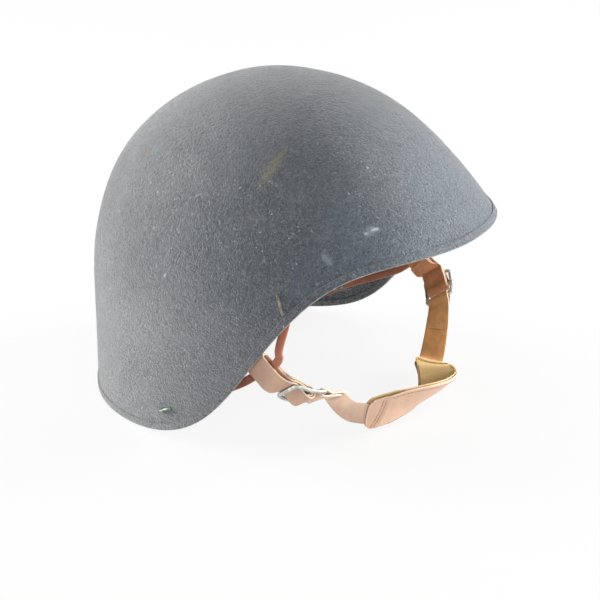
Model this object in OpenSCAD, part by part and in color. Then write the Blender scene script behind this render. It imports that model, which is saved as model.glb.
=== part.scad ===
// Deep steel helmet with a raised brim, long cheeks and nape, sponge pads inside
// and a leather chin harness that hangs from two thongs stapled into the shell.
// Front faces -Y, the wearer's left is +X, and the origin is where the head
// meets the underside of the crown pad. Millimetres.

/* [Shell] */
// Reach of the shell ahead of the crown's centre line, at its widest level
front_reach = 179; // [170:1:190]
// Reach of the shell behind the crown's centre line
rear_reach = 136.5; // [130:0.5:145]
// Half of the shell's width at its widest level
half_width = 128; // [124:1:134]
// Height of the crown above the widest level
crown_h = 150.5; // [142:0.5:160]
// Thickness of the drawn steel
shell_t = 1.6; // [1.2:0.1:2.2]
// Squareness of the plan outline, where 2 is a plain ellipse
plan_power = 2.12; // [2:0.01:2.25]
// How far the brow is drawn in from a plain dome, as a share of its reach
brow_flat = 0.1; // [0.06:0.01:0.12]
// How far the sides are drawn in from a plain dome
side_flat = 0.045; // [0.02:0.005:0.07]
// How far the back of the skull is filled out from a plain dome
nape_full = 0.06; // [0.03:0.01:0.08]

/* [Rim] */
// Height of the front rim above the widest level
brim_h = 60.8; // [56:0.2:66]
// Level that the front rim falls towards before it sweeps down at the temples
temple_h = 38; // [32:1:42]
// Depth of the nape rim below the widest level
nape_drop = 82.7; // [76:0.1:90]
// Angle from the front at which the rim is halfway down its sweep
sweep_angle = 69.7; // [68.5:0.1:71]
// Half of the angle over which the rim sweeps down
sweep_spread = 20.4; // [19:0.1:22]
// Thickness of the folded edging strip
band_t = 0.7; // [0.5:0.1:0.9]
// How far the edging strip reaches up each face of the shell
band_reach = 4.6; // [4:0.2:5]

/* [Staples] */
// Diameter of the staple wire
wire_d = 2.2; // [1.8:0.1:2.6]
// Play between the wire and its hole in the shell
hole_play = 0.4; // [0.3:0.1:0.6]
// Length of the front staples over their bends
front_staple_len = 15; // [14:0.5:16]
// Length of the rear staples over their bends
rear_staple_len = 11.5; // [10.5:0.5:13]
// Length of each clinched prong tip
clinch_len = 3; // [2.2:0.1:3.2]
// Angle of the front staples from the front
front_staple_angle = 60.8; // [60:0.1:61.5]
// Height of the front staples' middle above the widest level
front_staple_h = 32; // [31.5:0.5:34]
// Angle of the rear staples from the front
rear_staple_angle = 98.9; // [97:0.1:101]
// Depth of the rear staples' middle below the widest level
rear_staple_drop = 60.3; // [58:0.1:62]

/* [Thongs] */
// Width of the leather thong
thong_w = 6; // [5:0.2:7]
// Thickness of the leather thong
thong_t = 2.6; // [2:0.1:3]
// How far the thong runs on past each staple's middle
thong_tail = 14; // [11:0.5:16]

/* [Straps] */
// Width of the adjusting strap and of the cup's tabs
strap_w = 18; // [16:0.5:19]
// Thickness of the strap leather
leather_t = 1.5; // [1.2:0.1:1.7]
// Gap between leather plies that lie on one another
ply_gap = 0.25; // [0.2:0.05:0.4]
// Play between the strap's fold and the faces of the thong in it
fold_play = 0.45; // [0.35:0.05:0.6]
// Slack between the thong's edge and the inside of the strap's fold, past the room for its skew and swing
fold_slack = 0.8; // [0.6:0.1:1.4]
// Angle by which the strap folds askew over the thong
fold_skew = 12; // [4:1:14]
// Distance of the strap's fold in from the shell's side
fold_in = 12; // [11:0.5:13]
// Distance of the strap's fold ahead of the crown's centre line
fold_ahead = 52.5; // [51:0.5:54]
// Depth of the strap's fold below the widest level
fold_drop = 18.5; // [17:0.5:20]
// Distance from the fold to the free tip of the strap's tail
tail_start = 3; // [1:0.5:6]

/* [Buckles] */
// Diameter of the buckle's wire
bar_d = 2.8; // [2.2:0.1:3]
// Distance between neighbouring bars
bar_pitch = 12; // [11.5:0.1:13]
// Play between the strap's edges and the buckle's rails
rail_play = 0.9; // [0.5:0.1:1.5]
// How far the middle of the buckle bows outwards
buckle_bow = 1.6; // [1:0.1:2]
// Radius of the buckle's corners
corner_r = 3; // [2.4:0.1:3.2]
// Distance of the buckle's top bar in from the shell's side
buckle_in = 13; // [11:0.5:15]
// Distance of the buckle's top bar ahead of the crown's centre line
buckle_ahead = 69.5; // [68:0.5:71]
// Depth of the buckle's top bar below the widest level
buckle_drop = 29.5; // [28:0.5:31]
// Length of the tab's short ply, from the buckle to its sewn end
short_ply = 14; // [12:0.5:18]

/* [Chin cup] */
// Half of the cup's width from end to end
cup_half = 49.5; // [48:0.5:52]
// Distance of the cup's middle ahead of the crown's centre line
cup_ahead = 122.5; // [119:0.5:127]
// How far the cup's ends sit behind its middle
cup_depth = 27; // [24:0.5:31]
// Depth of the cup's middle below the widest level
cup_drop = 63; // [59:0.5:66]
// How far the cup's ends hang below its middle
cup_sag = 6.4; // [4:0.2:9]
// Half of the cup's breadth at its ends
cup_end_r = 11; // [10.5:0.25:12]
// Half of the cup's breadth at its middle
cup_mid_r = 15.25; // [14:0.25:17]
// How far the middle of the cup's face bellies outwards
cup_belly = 2.5; // [1.5:0.25:4]
// Lean of the cup's face at its middle, from upright
cup_lean = 51; // [46:1:56]
// How much the lean grows from the middle to the left end, and shrinks to the right
cup_roll = 44; // [36:1:48]
// How much longer the cup's lower edge is than its middle line, as a share
cup_cut = 0.04; // [0:0.005:0.05]
// Thickness of the cup's outer leather
cup_t = 1.8; // [1.4:0.1:2.2]
// Thickness of the cup's lining
lining_t = 1.1; // [0.8:0.1:1.4]
// Length of each tab that is sewn in between the cup and its lining
tab_tuck = 11; // [9:0.5:13]
// Angle to the cup's middle line at which the tabs come in from above
tab_angle = 26; // [14:1:28]

/* [Pads] */
// Thickness of the crown pad under the top of the shell
crown_pad_t = 20; // [16:1:24]
// Half of the crown pad's length
crown_pad_long = 62; // [56:1:68]
// Half of the crown pad's width
crown_pad_wide = 50; // [45:1:55]
// Thickness of the brow and nape pads
brow_pad_t = 26; // [22:1:30]
// Thickness of the temple pads
temple_pad_t = 18; // [14:1:20]
// Height of the lower edge of the brow, nape and temple pads above the widest level
pad_low = 72; // [68:1:78]
// Height of the upper edge of those pads above the widest level
pad_high = 112; // [106:1:118]
// Half of the angle that the brow and nape pads span
brow_pad_span = 34; // [28:1:38]
// Half of the angle that the temple pads span
temple_pad_span = 17; // [12:1:20]
// Gap that the cement fills between a pad and the shell
glue_gap = 0.6; // [0.5:0.05:0.8]

/* [Hidden] */
RIGHT = -1;
LEFT = 1;
$fn = 32;

// Steps of the lofted surfaces
shell_turns = 96;
shell_rows = 14;
curve_steps = 4;
bend_steps = 8;
strap_steps = 12;
strap_strips = 2;
tab_steps = 22;
tab_strips = 4;
corner_steps = 4;
wire_sides = 8;
cup_stations = 36;
cup_strips = 6;
pad_stations = 12;
pad_strips = 6;
crown_turns = 32;
crown_rows = 4;

// Small steps for slopes
d_angle = 0.5;
d_share = 0.01;

// Clearance of the edging strip over the curved steel
band_gap = 0.15;
// Level of the head's seat above the widest level
seat_h = crown_h - shell_t - glue_gap - crown_pad_t;
// Gap between the skin and a staple's bar
bar_gap = 0.35;
// Height of the bar's middle over the skin, which is also the radius of the staple's bends
bar_lift = wire_d / 2 + bar_gap;
wire_bend_r = bar_lift;
// Gap between the shell and the thong's end that is stapled to it
thong_lift = 0.7;
// Depth of the thong's middle under the shell's outer skin
thong_depth = shell_t + thong_lift + thong_t / 2;
// Depth of the clinched tips under the skin
clinch_depth = shell_t + thong_lift + thong_t + ply_gap + wire_d / 2;
// Room that the thong leaves for the edging strip as it passes the rim
rim_clear = band_gap + band_t + ply_gap;
// Angle between a front staple and the thong's crossing of the rim
exit_angle = 1.2;
// Distance along the thong from the strap's fold to its turn up to the front staple
turn_run = 14.1;
// Height of the turn's bend, and of the upright stretch over it
turn_bend = 3;
turn_rise = 10;
// Distance along the thong from the strap's fold to the point where it heads for the rear staple
rear_run = 22.5;
// How the thong closes on the shell before the rear staple: shares of its tail, and depths left over
rear_lead = [[-2.6, 3], [-1.6, 0.8], [-0.8, 0]];
// Swing each way that the strap's fold leaves room for, and that room at the fold's edges
swing = 10;
fold_room = strap_w / 2 * tan(swing + fold_skew);
// Length over which the plies lie straight beside the thong
fold_hold = thong_w / 2 + fold_room + 1;
// Shape of the cup: how late its ends turn back and droop, and where its belly ends
cup_turn = 1.7;
belly_end = 0.8;
// Gap between the cup and its lining where no tab is sewn in
sheet_gap = 0.4;
// Length over which the cup and its lining part ahead of a tab's tip, and the room past that tip
tuck_ramp = 10;
tuck_room = 2;
// Height of the tabs' entry over the cup's middle line, and the length over which they line up with it
tab_lift = 2;
tab_entry = strap_w / 2 * sin(tab_angle) + tuck_room;
// Share of a pad's thickness that is left at its edges, and squareness of its crown
pad_side = 0.45;
pad_crown = 4;

steel = "#46515c";
wire = "#5d6a5c";
thong_brown = "#6e3a2b";
strap_taupe = "#a58a7c";
nickel = "#c9c9c4";
cup_beige = "#c9a794";
cup_tan = "#d9b06f";
sponge = "#b9a98c";

function unit(v) = v / norm(v);
function mix(a, b, t) = a + (b - a) * t;
function clip(t) = min(max(t, 0), 1);
function ease(t) = clip(t) * clip(t) * (3 - 2 * clip(t));
function reject(v, axis) = v - (v * axis) * axis;

// A point or a direction from distances outwards, ahead and up from the widest level
function spot(side, out, ahead, up) = [side * out, -ahead, up - seat_h];
function way(side, out, ahead, up) = unit([side * out, -ahead, up]);

// Cubic curve from p to q with end directions u and v
function arc_span(p, q, u, v, t) = let (k = norm(q - p) / 3, a = p + u * k, b = q - v * k)
    pow(1 - t, 3) * p + 3 * pow(1 - t, 2) * t * a + 3 * (1 - t) * t * t * b + t * t * t * q;

// Smooth curve through a list of points
function through(pts, i, t) = let (
        n = len(pts) - 1,
        b = pts[i],
        c = pts[min(i + 1, n)],
        a = i > 0 ? pts[i - 1] : 2 * b - c,
        d = i + 2 <= n ? pts[i + 2] : 2 * c - b)
    0.5 * (2 * b + (c - a) * t + (2 * a - 5 * b + 4 * c - d) * t * t + (3 * b - a - 3 * c + d) * t * t * t);
function curve(pts) = concat(
    [for (i = [0 : len(pts) - 2], k = [0 : curve_steps - 1]) through(pts, i, k / curve_steps)],
    [pts[len(pts) - 1]]);

// Two triangles between points a, b of one ring and c, d of the next, split the other way if turned
function quad(a, b, c, d, turned) = turned ? [[a, c, d], [a, d, b]] : [[a, c, b], [b, c, d]];

// Solid through closed rings of equal length, the halves of each ring facing each other at the ends
module loft(rings, loop = false) {
    n = len(rings);
    m = len(rings[0]);
    h = m / 2;
    sides = [for (i = [0 : loop ? n - 1 : n - 2], j = [0 : m - 1])
        let (k = (j + 1) % m, o = i * m, p = ((i + 1) % n) * m)
        each quad(o + j, o + k, p + j, p + k, loop && i < n / 2)];
    ends = loop ? [] : [for (j = [0 : h - 2])
        let (a = j, b = j + 1, c = m - 1 - j, d = m - 2 - j, o = (n - 1) * m)
        each [[a, b, c], [b, d, c], [a + o, c + o, b + o], [b + o, c + o, d + o]]];
    polyhedron([for (r = rings) each r], concat(sides, ends));
}

// Solid through closed rings, closed at both ends on a middle point
module capped_loft(rings, first, last) {
    n = len(rings);
    m = len(rings[0]);
    sides = [for (i = [0 : n - 2], j = [0 : m - 1])
        let (a = i * m + j, b = i * m + (j + 1) % m)
        each quad(a, b, a + m, b + m, j < m / 2)];
    ends = [for (j = [0 : m - 1])
        let (k = (j + 1) % m, o = (n - 1) * m)
        each [[n * m, j, k], [n * m + 1, k + o, j + o]]];
    polyhedron(concat([for (r = rings) each r], [first, last]), concat(sides, ends));
}

// Shell surface: angles run from the front towards the wearer's left
function rim_h(a) = let (front = temple_h + (brim_h - temple_h) * (1 + cos(a)) / 2)
    (front + nape_drop) / (1 + exp(2 * (abs(a) - sweep_angle) / sweep_spread)) - nape_drop;
function plan_r(a) = let (reach = cos(a) >= 0 ? front_reach : rear_reach)
    pow(pow(abs(cos(a)) / reach, plan_power) + pow(abs(sin(a)) / half_width, plan_power), -1 / plan_power);
function fullness(a) = nape_full * pow(max(-cos(a), 0), 2) - brow_flat * pow(max(cos(a), 0), 2)
    - side_flat * pow(sin(a), 2);
function shell_r(a, up) = let (h = clip(up / crown_h))
    plan_r(a) * sqrt(1 - h * h) * (1 + fullness(a) * 4 * h * h * (1 - h * h));
function skin(a, up) = spot(1, shell_r(a, up) * sin(a), shell_r(a, up) * cos(a), up);
function skin_normal(a, up) = unit(cross(
    skin(a + d_angle, up) - skin(a - d_angle, up),
    skin(a, up + d_angle) - skin(a, up - d_angle)));
// The same surface by share of the way from the crown to the rim
function row_h(a, share) = rim_h(a) + (crown_h - rim_h(a)) * cos(90 * share);
function row(a, share) = skin(a, row_h(a, share));
function row_normal(a, share) = unit(cross(
    row(a + d_angle, share) - row(a - d_angle, share),
    row(a, share - d_share) - row(a, share + d_share)));
function under(a, up, depth) = skin(a, up) - depth * skin_normal(a, up);

// The rim, the way off it across the steel, and the line that the edging strip reaches
function rim_point(a) = skin(a, rim_h(a));
function rim_normal(a) = skin_normal(a, rim_h(a));
function rim_off(a) = unit(cross(rim_point(a + d_angle) - rim_point(a - d_angle), rim_normal(a)));
function lip(a) = let (q = rim_point(a) - rim_off(a) * band_reach, b = atan2(q.x, -q.y), up = q.z + seat_h)
    [skin(b, up), skin_normal(b, up)];

// Rings of the shell at one depth below its outer skin, closer together at the rim
function shell_point(i, a) = i < shell_rows ? [row(a, i / shell_rows), row_normal(a, i / shell_rows)]
    : i == shell_rows ? lip(a) : [rim_point(a), rim_normal(a)];
function shell_ring(i, depth) = [for (j = [0 : shell_turns - 1])
    let (p = shell_point(i, 360 * j / shell_turns - 180)) p[0] - depth * p[1]];

module shell() {
    top = [0, 0, crown_h - seat_h];
    inner = [for (i = [1 : shell_rows + 1]) shell_ring(i, shell_t)];
    outer = [for (i = [shell_rows + 1 : -1 : 1]) shell_ring(i, 0)];
    color(steel)
    difference() {
        capped_loft(concat(inner, outer), top - [0, 0, shell_t], top);
        for (side = [RIGHT, LEFT], front = [true, false], end = [-1, 1])
            staple_place(side, front)
                translate([end * prong_x(front), 0, -shell_t - wire_d])
                    cylinder(h = shell_t + 2 * wire_d, d = wire_d + hole_play);
    }
}

// Folded edging strip round the rim
function band_ring(a) = let (
        p = rim_point(a),
        n = rim_normal(a),
        off = rim_off(a),
        q = lip(a)[0],
        m = lip(a)[1],
        face = band_gap + band_t,
        back = shell_t + band_gap)
    [q + m * face, p + n * face + off * band_gap, p + n * band_gap + off * face,
     p - n * back + off * face, p - n * (back + band_t) + off * band_gap, q - m * (back + band_t),
     q - m * back, p - n * back + off * band_gap, p + n * band_gap + off * band_gap, q + m * band_gap];

module rim_band() {
    color(steel)
    loft([for (j = [0 : shell_turns - 1]) band_ring(360 * j / shell_turns - 180)], loop = true);
}

// Staples: x runs along the bar, z out of the shell, and 0 is the shell's outer skin
function staple_len(front) = front ? front_staple_len : rear_staple_len;
function prong_x(front) = (staple_len(front) - wire_d) / 2;
function staple_angle(front) = front ? front_staple_angle : rear_staple_angle;
function staple_h(front) = front ? front_staple_h : -rear_staple_drop;
function on_side(side, v) = [side * v.x, v.y, v.z];
function staple_normal(front) = skin_normal(staple_angle(front), staple_h(front));
function staple_along(front) = unit(reject(thong_way(front), staple_normal(front)));

module on_axes(origin, x, y, z) {
    multmatrix([
        [x.x, y.x, z.x, origin.x],
        [x.y, y.y, z.y, origin.y],
        [x.z, y.z, z.z, origin.z],
        [0, 0, 0, 1]])
        children();
}

module staple_place(side, front) {
    n = staple_normal(front);
    x = staple_along(front);
    mirror([side == RIGHT ? 1 : 0, 0, 0])
        on_axes(skin(staple_angle(front), staple_h(front)), x, cross(n, x), n)
            children();
}

// Quarter bend of wire in the x-z plane
module wire_bend(x, z, start) {
    translate([x, 0, z]) rotate([90, 0, 0]) rotate(start)
        rotate_extrude(angle = 90) translate([wire_bend_r, 0]) circle(d = wire_d);
}

module staple(side, front) {
    reach = prong_x(front);
    straight = bar_lift + clinch_depth - 2 * wire_bend_r;
    color(wire)
    staple_place(side, front) {
        translate([-reach + wire_bend_r, 0, bar_lift]) rotate([0, 90, 0])
            cylinder(h = 2 * (reach - wire_bend_r), d = wire_d);
        for (end = [0, 1]) mirror([end, 0, 0]) {
            wire_bend(reach - wire_bend_r, bar_lift - wire_bend_r, 0);
            translate([reach, 0, wire_bend_r - clinch_depth]) cylinder(h = straight, d = wire_d);
            wire_bend(reach - wire_bend_r, wire_bend_r - clinch_depth, -90);
            translate([reach - wire_bend_r - clinch_len, 0, -clinch_depth]) rotate([0, 90, 0])
                cylinder(h = clinch_len, d = wire_d);
        }
    }
}

module front_staples() {
    for (side = [RIGHT, LEFT]) staple(side, true);
}

module rear_staples() {
    for (side = [RIGHT, LEFT]) staple(side, false);
}

// Thong: from the front staple down to its turn, through the strap's fold and back to the rear staple
fold_centre = spot(1, half_width - fold_in, fold_ahead, -fold_drop);
fold_run = way(1, 0, -0.8, -0.6);
fold_face = [1, 0, 0];
fold_line = fold_run * cos(fold_skew) - cross(fold_face, fold_run) * sin(fold_skew);
rear_exit = fold_centre + fold_run * rear_run;
front_exit = under(front_staple_angle - exit_angle, rim_h(front_staple_angle - exit_angle) + band_reach,
    thong_depth + rim_clear);
function staple_point(front) = under(staple_angle(front), staple_h(front), thong_depth);
function thong_way(front) = unit(staple_point(front) - (front ? front_exit : rear_exit));
// A point moved under the shell, as deep as a stapled end of the thong
function seated(p) = under(atan2(p.x, -p.y), p.z + seat_h, thong_depth);
function seated_normal(p) = skin_normal(atan2(p.x, -p.y), p.z + seat_h);
function stapled(front, k, over = 0) = let (p = staple_point(front) + thong_way(front) * thong_tail * k)
    [seated(p) - seated_normal(p) * over, seated_normal(p)];
turn = fold_centre - fold_run * turn_run;
thong_route = [
    stapled(true, 1),
    stapled(true, 0.5),
    stapled(true, 0),
    [front_exit, staple_normal(true)],
    [turn + [0, 0, turn_rise], fold_face],
    [turn + [0, 0, turn_bend], fold_face],
    [fold_centre - fold_run * strap_w / 2, fold_face],
    [fold_centre - fold_run * strap_w / 4, fold_face],
    [fold_centre, fold_face],
    [fold_centre + fold_run * strap_w / 2, fold_face],
    [rear_exit, fold_face],
    each [for (c = rear_lead) stapled(false, c[0], c[1])],
    stapled(false, 0),
    stapled(false, 1)];

// Flat ribbon with blunted edges along points that each carry their face's normal
function ribbon_ring(p, t, n, w, thick) = let (
        face = unit(reject(n, t)),
        side = cross(face, t),
        blunt = thick / 4,
        x = w / 2,
        y = thick / 2)
    [for (c = [[-x, blunt - y], [blunt - x, -y], [x - blunt, -y], [x, blunt - y],
               [x, y - blunt], [x - blunt, y], [blunt - x, y], [-x, y - blunt]])
        p + side * c.x + face * c.y];

module thong(side) {
    points = curve([for (s = thong_route) s[0]]);
    normals = curve([for (s = thong_route) s[1]]);
    last = len(points) - 1;
    color(thong_brown)
    mirror([side == RIGHT ? 1 : 0, 0, 0])
        loft([for (i = [0 : last]) let (t = unit(points[min(i + 1, last)] - points[max(i - 1, 0)]))
            ribbon_ring(points[i], t, normals[i], thong_w, thong_t)]);
}

module right_thong() { thong(RIGHT); }
module left_thong() { thong(LEFT); }

// Buckle frame: along the strap, across it and outwards, from the top bar's middle
top_bar = spot(1, half_width - buckle_in, buckle_ahead, -buckle_drop);
buckle_way = way(1, -0.79, 0.48, -0.38);
buckle_across = unit(reject(way(1, 0.19, 0.78, 0.59), buckle_way));
buckle_face = cross(buckle_across, buckle_way);
function from_buckle(s, across, out) = top_bar + buckle_way * s + buckle_across * across + buckle_face * out;
function bow(s) = buckle_bow * (1 - pow(s / bar_pitch - 1, 2));
rail_x = strap_w / 2 + rail_play + bar_d / 2;

module buckle(side) {
    x = rail_x - corner_r;
    y = 2 * bar_pitch - corner_r;
    corners = [[x, y, 0], [-x, y, 90], [-x, corner_r, 180], [x, corner_r, 270]];
    outline = [for (c = corners, k = [0 : corner_steps])
        let (a = c[2] + 90 * k / corner_steps) [c.x + corner_r * cos(a), c.y + corner_r * sin(a)]];
    rails = [for (i = [0 : len(outline) - 1]) each
        norm(outline[(i + 1) % len(outline)] - outline[i]) < corner_r ? [outline[i]]
            : [for (k = [0 : 3]) mix(outline[i], outline[(i + 1) % len(outline)], k / 4)]];
    path = [for (p = rails) from_buckle(p.y, p.x, bow(p.y))];
    n = len(path);
    color(nickel)
    mirror([side == RIGHT ? 1 : 0, 0, 0]) {
        loft([for (i = [0 : n - 1])
            let (t = unit(path[(i + 1) % n] - path[(i + n - 1) % n]), u = unit(reject(buckle_face, t)),
                v = cross(u, t))
            [for (k = [0 : wire_sides - 1]) let (a = 360 * k / wire_sides)
                path[i] + bar_d / 2 * (cos(a) * v + sin(a) * u)]], loop = true);
        on_axes(from_buckle(bar_pitch, -rail_x, buckle_bow), buckle_way, buckle_face, buckle_across)
            cylinder(h = 2 * rail_x, d = bar_d);
    }
}

module right_buckle() { buckle(RIGHT); }
module left_buckle() { buckle(LEFT); }

// Leather along a side view: s runs along the strap, y stands out from its middle surface
ply_step = leather_t + ply_gap;
sewn_r = bar_d / 2 + ply_gap + leather_t / 2;
wrap_r = sewn_r + ply_step;
fold_way = unit(reject(reject(top_bar - fold_centre, fold_line), fold_face));
fold_end = fold_centre + fold_way * fold_hold;
strap_run = fold_hold + norm(top_bar - fold_end);
function strap_share(s) = (s - fold_hold) / (strap_run - fold_hold);

// Middle line and outward face of the adjusting strap
function strap_mid(s) = s <= fold_hold ? fold_centre + fold_way * s
    : s < strap_run ? arc_span(fold_end, top_bar, fold_way, buckle_way, strap_share(s))
    : top_bar + buckle_way * (s - strap_run);
function strap_axes(s) = let (
        t = ease(strap_share(s)),
        along = unit(mix(fold_way, buckle_way, t)),
        across = unit(reject(mix(-fold_line, buckle_across, t), along)))
    [across, cross(across, along)];
function on_strap(s, y, x) = let (axes = strap_axes(s)) strap_mid(s) + axes[0] * x + axes[1] * y;

// Side view of a ply that lies at `high` by the fold, `low` at the top bar and `past` at the middle bar
function ply(s, high, low, past) = s < strap_run
    ? mix(high, low, ease(strap_share(s)))
    : mix(low, past, ease((s - strap_run) / bar_pitch));
fold_y = thong_t / 2 + fold_play + leather_t / 2;
function outer_ply(s) = ply(s, fold_y, -sewn_r, buckle_bow + wrap_r);
function inner_ply(s) = ply(s, -fold_y, -sewn_r - ply_step, buckle_bow - sewn_r);
function tail_ply(s) = inner_ply(s) - ply_step;
mid_bar = strap_run + bar_pitch;
fold_turn = fold_y - leather_t / 2 - thong_w / 2 - fold_room - fold_slack;
strap_view = let (n = strap_steps, k = bend_steps) concat(
    [for (i = [0 : n - 1]) let (s = mix(tail_start, mid_bar, i / n)) [s, tail_ply(s)]],
    [for (i = [0 : k]) let (a = -90 + 180 * i / k) [mid_bar + wrap_r * cos(a), buckle_bow + wrap_r * sin(a)]],
    [for (i = [1 : n]) let (s = mix(mid_bar, 0, i / n)) [s, outer_ply(s)]],
    [for (i = [0 : k]) let (a = 90 + 180 * i / k) [fold_turn + fold_y * cos(a), fold_y * sin(a)]],
    [for (i = [0 : n - 1]) let (s = mix(0, mid_bar, i / n)) [s, inner_ply(s)]],
    [for (i = [0 : k]) let (a = -90 + 180 * i / k) [mid_bar + sewn_r * cos(a), buckle_bow + sewn_r * sin(a)]],
    [[mid_bar - sewn_r, buckle_bow + sewn_r]]);

// Rings of a flat strap from its side view, where place(s, y, x) puts a point in space
function view_slope(view, i) = unit(view[min(i + 1, len(view) - 1)] - view[max(i - 1, 0)]);
function view_corners(view, i, strips) = let (
        t = view_slope(view, i),
        n = [-t.y, t.x] * leather_t / 2,
        x = strap_w / 2)
    [for (k = [0 : 2 * strips + 1]) k <= strips ? [view[i] - n, mix(x, -x, k / strips)]
        : [view[i] + n, mix(-x, x, (k - strips - 1) / strips)]];

module strap(side) {
    color(strap_taupe)
    mirror([side == RIGHT ? 1 : 0, 0, 0])
        loft([for (i = [0 : len(strap_view) - 1])
            [for (c = view_corners(strap_view, i, strap_strips)) on_strap(c[0].x, c[0].y, c[1])]]);
}

module right_strap() { strap(RIGHT); }
module left_strap() { strap(LEFT); }

// Chin cup: `out` runs from the right end at -cup_half to the left end at cup_half
function cup_share(out) = abs(out) / cup_half;
function cup_mid(out) = spot(1, out, cup_ahead - cup_depth * pow(cup_share(out), cup_turn),
    -cup_drop - cup_sag * pow(cup_share(out), cup_turn));
function cup_tilt(out) = cup_lean + cup_roll * out / cup_half;
function cup_up(out) = [0, -sin(cup_tilt(out)), cos(cup_tilt(out))];
function cup_along(out) = unit(cup_mid(out + d_angle) - cup_mid(out - d_angle));
function cup_across(out) = unit(reject(cup_up(out), cup_along(out)));
function cup_face(out) = cross(cup_along(out), cup_across(out));
function cup_r(out) = cup_end_r + (cup_mid_r - cup_end_r) * (1 - pow(cup_share(out), 2));
// Gap from the cup's middle surface to its leather, wider where a tab is sewn in
function cup_gap(out) = sheet_gap / 2
    + ply_step / 2 * ease((abs(out) - cup_half + tab_tuck + tuck_room + tuck_ramp) / tuck_ramp);
function cup_point(out, q, depth) = let (o = out * (1 - cup_cut * q))
    cup_mid(o) + cup_across(o) * q * cup_r(o)
    + cup_face(o) * (depth + cup_belly * (1 - q * q) * (1 - ease(cup_share(o) / belly_end)));

// Leather between two depths from the cup's middle surface, each a multiple of its gap and a distance
module cup_sheet(side, inner, outer) {
    stations = [for (i = [0 : cup_stations]) mix(-cup_half, cup_half, i / cup_stations)];
    shares = [for (j = [0 : cup_strips]) 2 * j / cup_strips - 1];
    loft([for (out = stations) let (gap = side * cup_gap(out)) concat(
        [for (q = shares) cup_point(out, q, gap + inner)],
        [for (q = shares) cup_point(out, -q, gap + outer)])]);
}

module chin_cup() { color(cup_beige) cup_sheet(1, 0, cup_t); }
module chin_cup_lining() { color(cup_tan) cup_sheet(-1, -lining_t, 0); }

// Tab from the buckle's low bar to the cup, measured along it from the low bar
low_bar = from_buckle(2 * bar_pitch, 0, 0);
cup_tip = cup_half * (1 + cup_cut);
cup_pace = norm(cup_mid(cup_tip) - cup_mid(cup_tip - 1));
// A tab's place in the cup's surface: s runs inwards from the cup's end, x across the tab, y out of its face
function on_cup(side, s, x, y) = let (
        a = s * cos(tab_angle) + x * sin(tab_angle),
        o = side * (cup_tip - a / cup_pace))
    cup_mid(o) + cup_across(o) * (tab_lift + x * cos(tab_angle) - s * sin(tab_angle)) + cup_face(o) * y;
function entry(side) = on_cup(side, -tab_entry, 0, 0);
function entry_way(side) = unit(on_cup(side, d_angle - tab_entry, 0, 0) - entry(side));
function entry_across(side) = unit(on_cup(side, -tab_entry, d_angle, 0) - entry(side));
function tab_run(side) = norm(entry(side) - on_side(side, low_bar));
function tab_mid(side, s) = s <= 0 ? on_side(side, low_bar + buckle_way * s)
    : arc_span(on_side(side, low_bar), entry(side), on_side(side, buckle_way), entry_way(side),
        s / tab_run(side));
function tab_axes(side, s) = let (
        t = ease(s / tab_run(side)),
        along = unit(tab_mid(side, s + d_angle) - tab_mid(side, s - d_angle)),
        across = unit(reject(mix(on_side(side, buckle_across), entry_across(side), t), along)))
    [across, side * cross(across, along)];
function on_tab(side, s, y, x) = let (run = tab_run(side), axes = tab_axes(side, s))
    s < run ? tab_mid(side, s) + axes[0] * x + axes[1] * y : on_cup(side, s - run - tab_entry, x, y);
// Half of the distance between the tab's two plies, which part to go round the bar
function tab_open(s) = mix(sewn_r, ply_step / 2, ease(s / (3 * sewn_r)));
function tab_long(side, s) = -tab_open(s)
    * (1 - ease((s - short_ply) / (tab_run(side) - short_ply - tuck_room)));
function tab_view(side) = let (
        n = tab_steps,
        k = bend_steps,
        end = tab_run(side) + tab_entry + tab_tuck) concat(
    [for (i = [0 : k - 1]) let (s = short_ply * (1 - i / k)) [s, tab_open(s)]],
    [for (i = [0 : k]) let (a = 90 + 180 * i / k) [sewn_r * cos(a), sewn_r * sin(a)]],
    [for (i = [1 : n]) let (s = end * i / n) [s, tab_long(side, s)]]);

module tab(side) {
    view = tab_view(side);
    color(strap_taupe)
    loft([for (i = [0 : len(view) - 1])
        [for (c = view_corners(view, i, tab_strips)) on_tab(side, c[0].x, c[0].y, c[1] * side)]]);
}

module right_tab() { tab(RIGHT); }
module left_tab() { tab(LEFT); }

// Pads: blocks of sponge cemented under the shell, crowned and drawn in at their edges
pad_depth = shell_t + glue_gap;
function pad_edge(x) = pad_side + (1 - pad_side) * sqrt(1 - pow(min(abs(x), 1), pad_crown));

module wall_pad(middle, span, thick) {
    levels = [for (j = [0 : pad_strips]) j / pad_strips];
    color(sponge)
    loft([for (i = [0 : pad_stations]) let (u = 2 * i / pad_stations - 1, a = middle + u * span) concat(
        [for (v = levels) let (depth = pad_depth + thick * pad_edge(u) * pad_edge(2 * v - 1))
            under(a, mix(pad_low, pad_high, v), depth)],
        [for (v = levels) under(a, mix(pad_high, pad_low, v), pad_depth)])]);
}

module brow_pad() { wall_pad(0, brow_pad_span, brow_pad_t); }
module nape_pad() { wall_pad(180, brow_pad_span, brow_pad_t); }
module right_temple_pad() { wall_pad(-90, temple_pad_span, temple_pad_t); }
module left_temple_pad() { wall_pad(90, temple_pad_span, temple_pad_t); }

function crown_pad_r(a) = 1 / norm([cos(a) / crown_pad_long, sin(a) / crown_pad_wide]);
function crown_pad_top(a, k) = let (r = k * crown_pad_r(a) / plan_r(a))
    under(a, crown_h * sqrt(1 - r * r), pad_depth);
function crown_pad_ring(k, drop) = [for (j = [0 : crown_turns - 1])
    crown_pad_top(360 * j / crown_turns - 180, k) - [0, 0, drop]];

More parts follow.
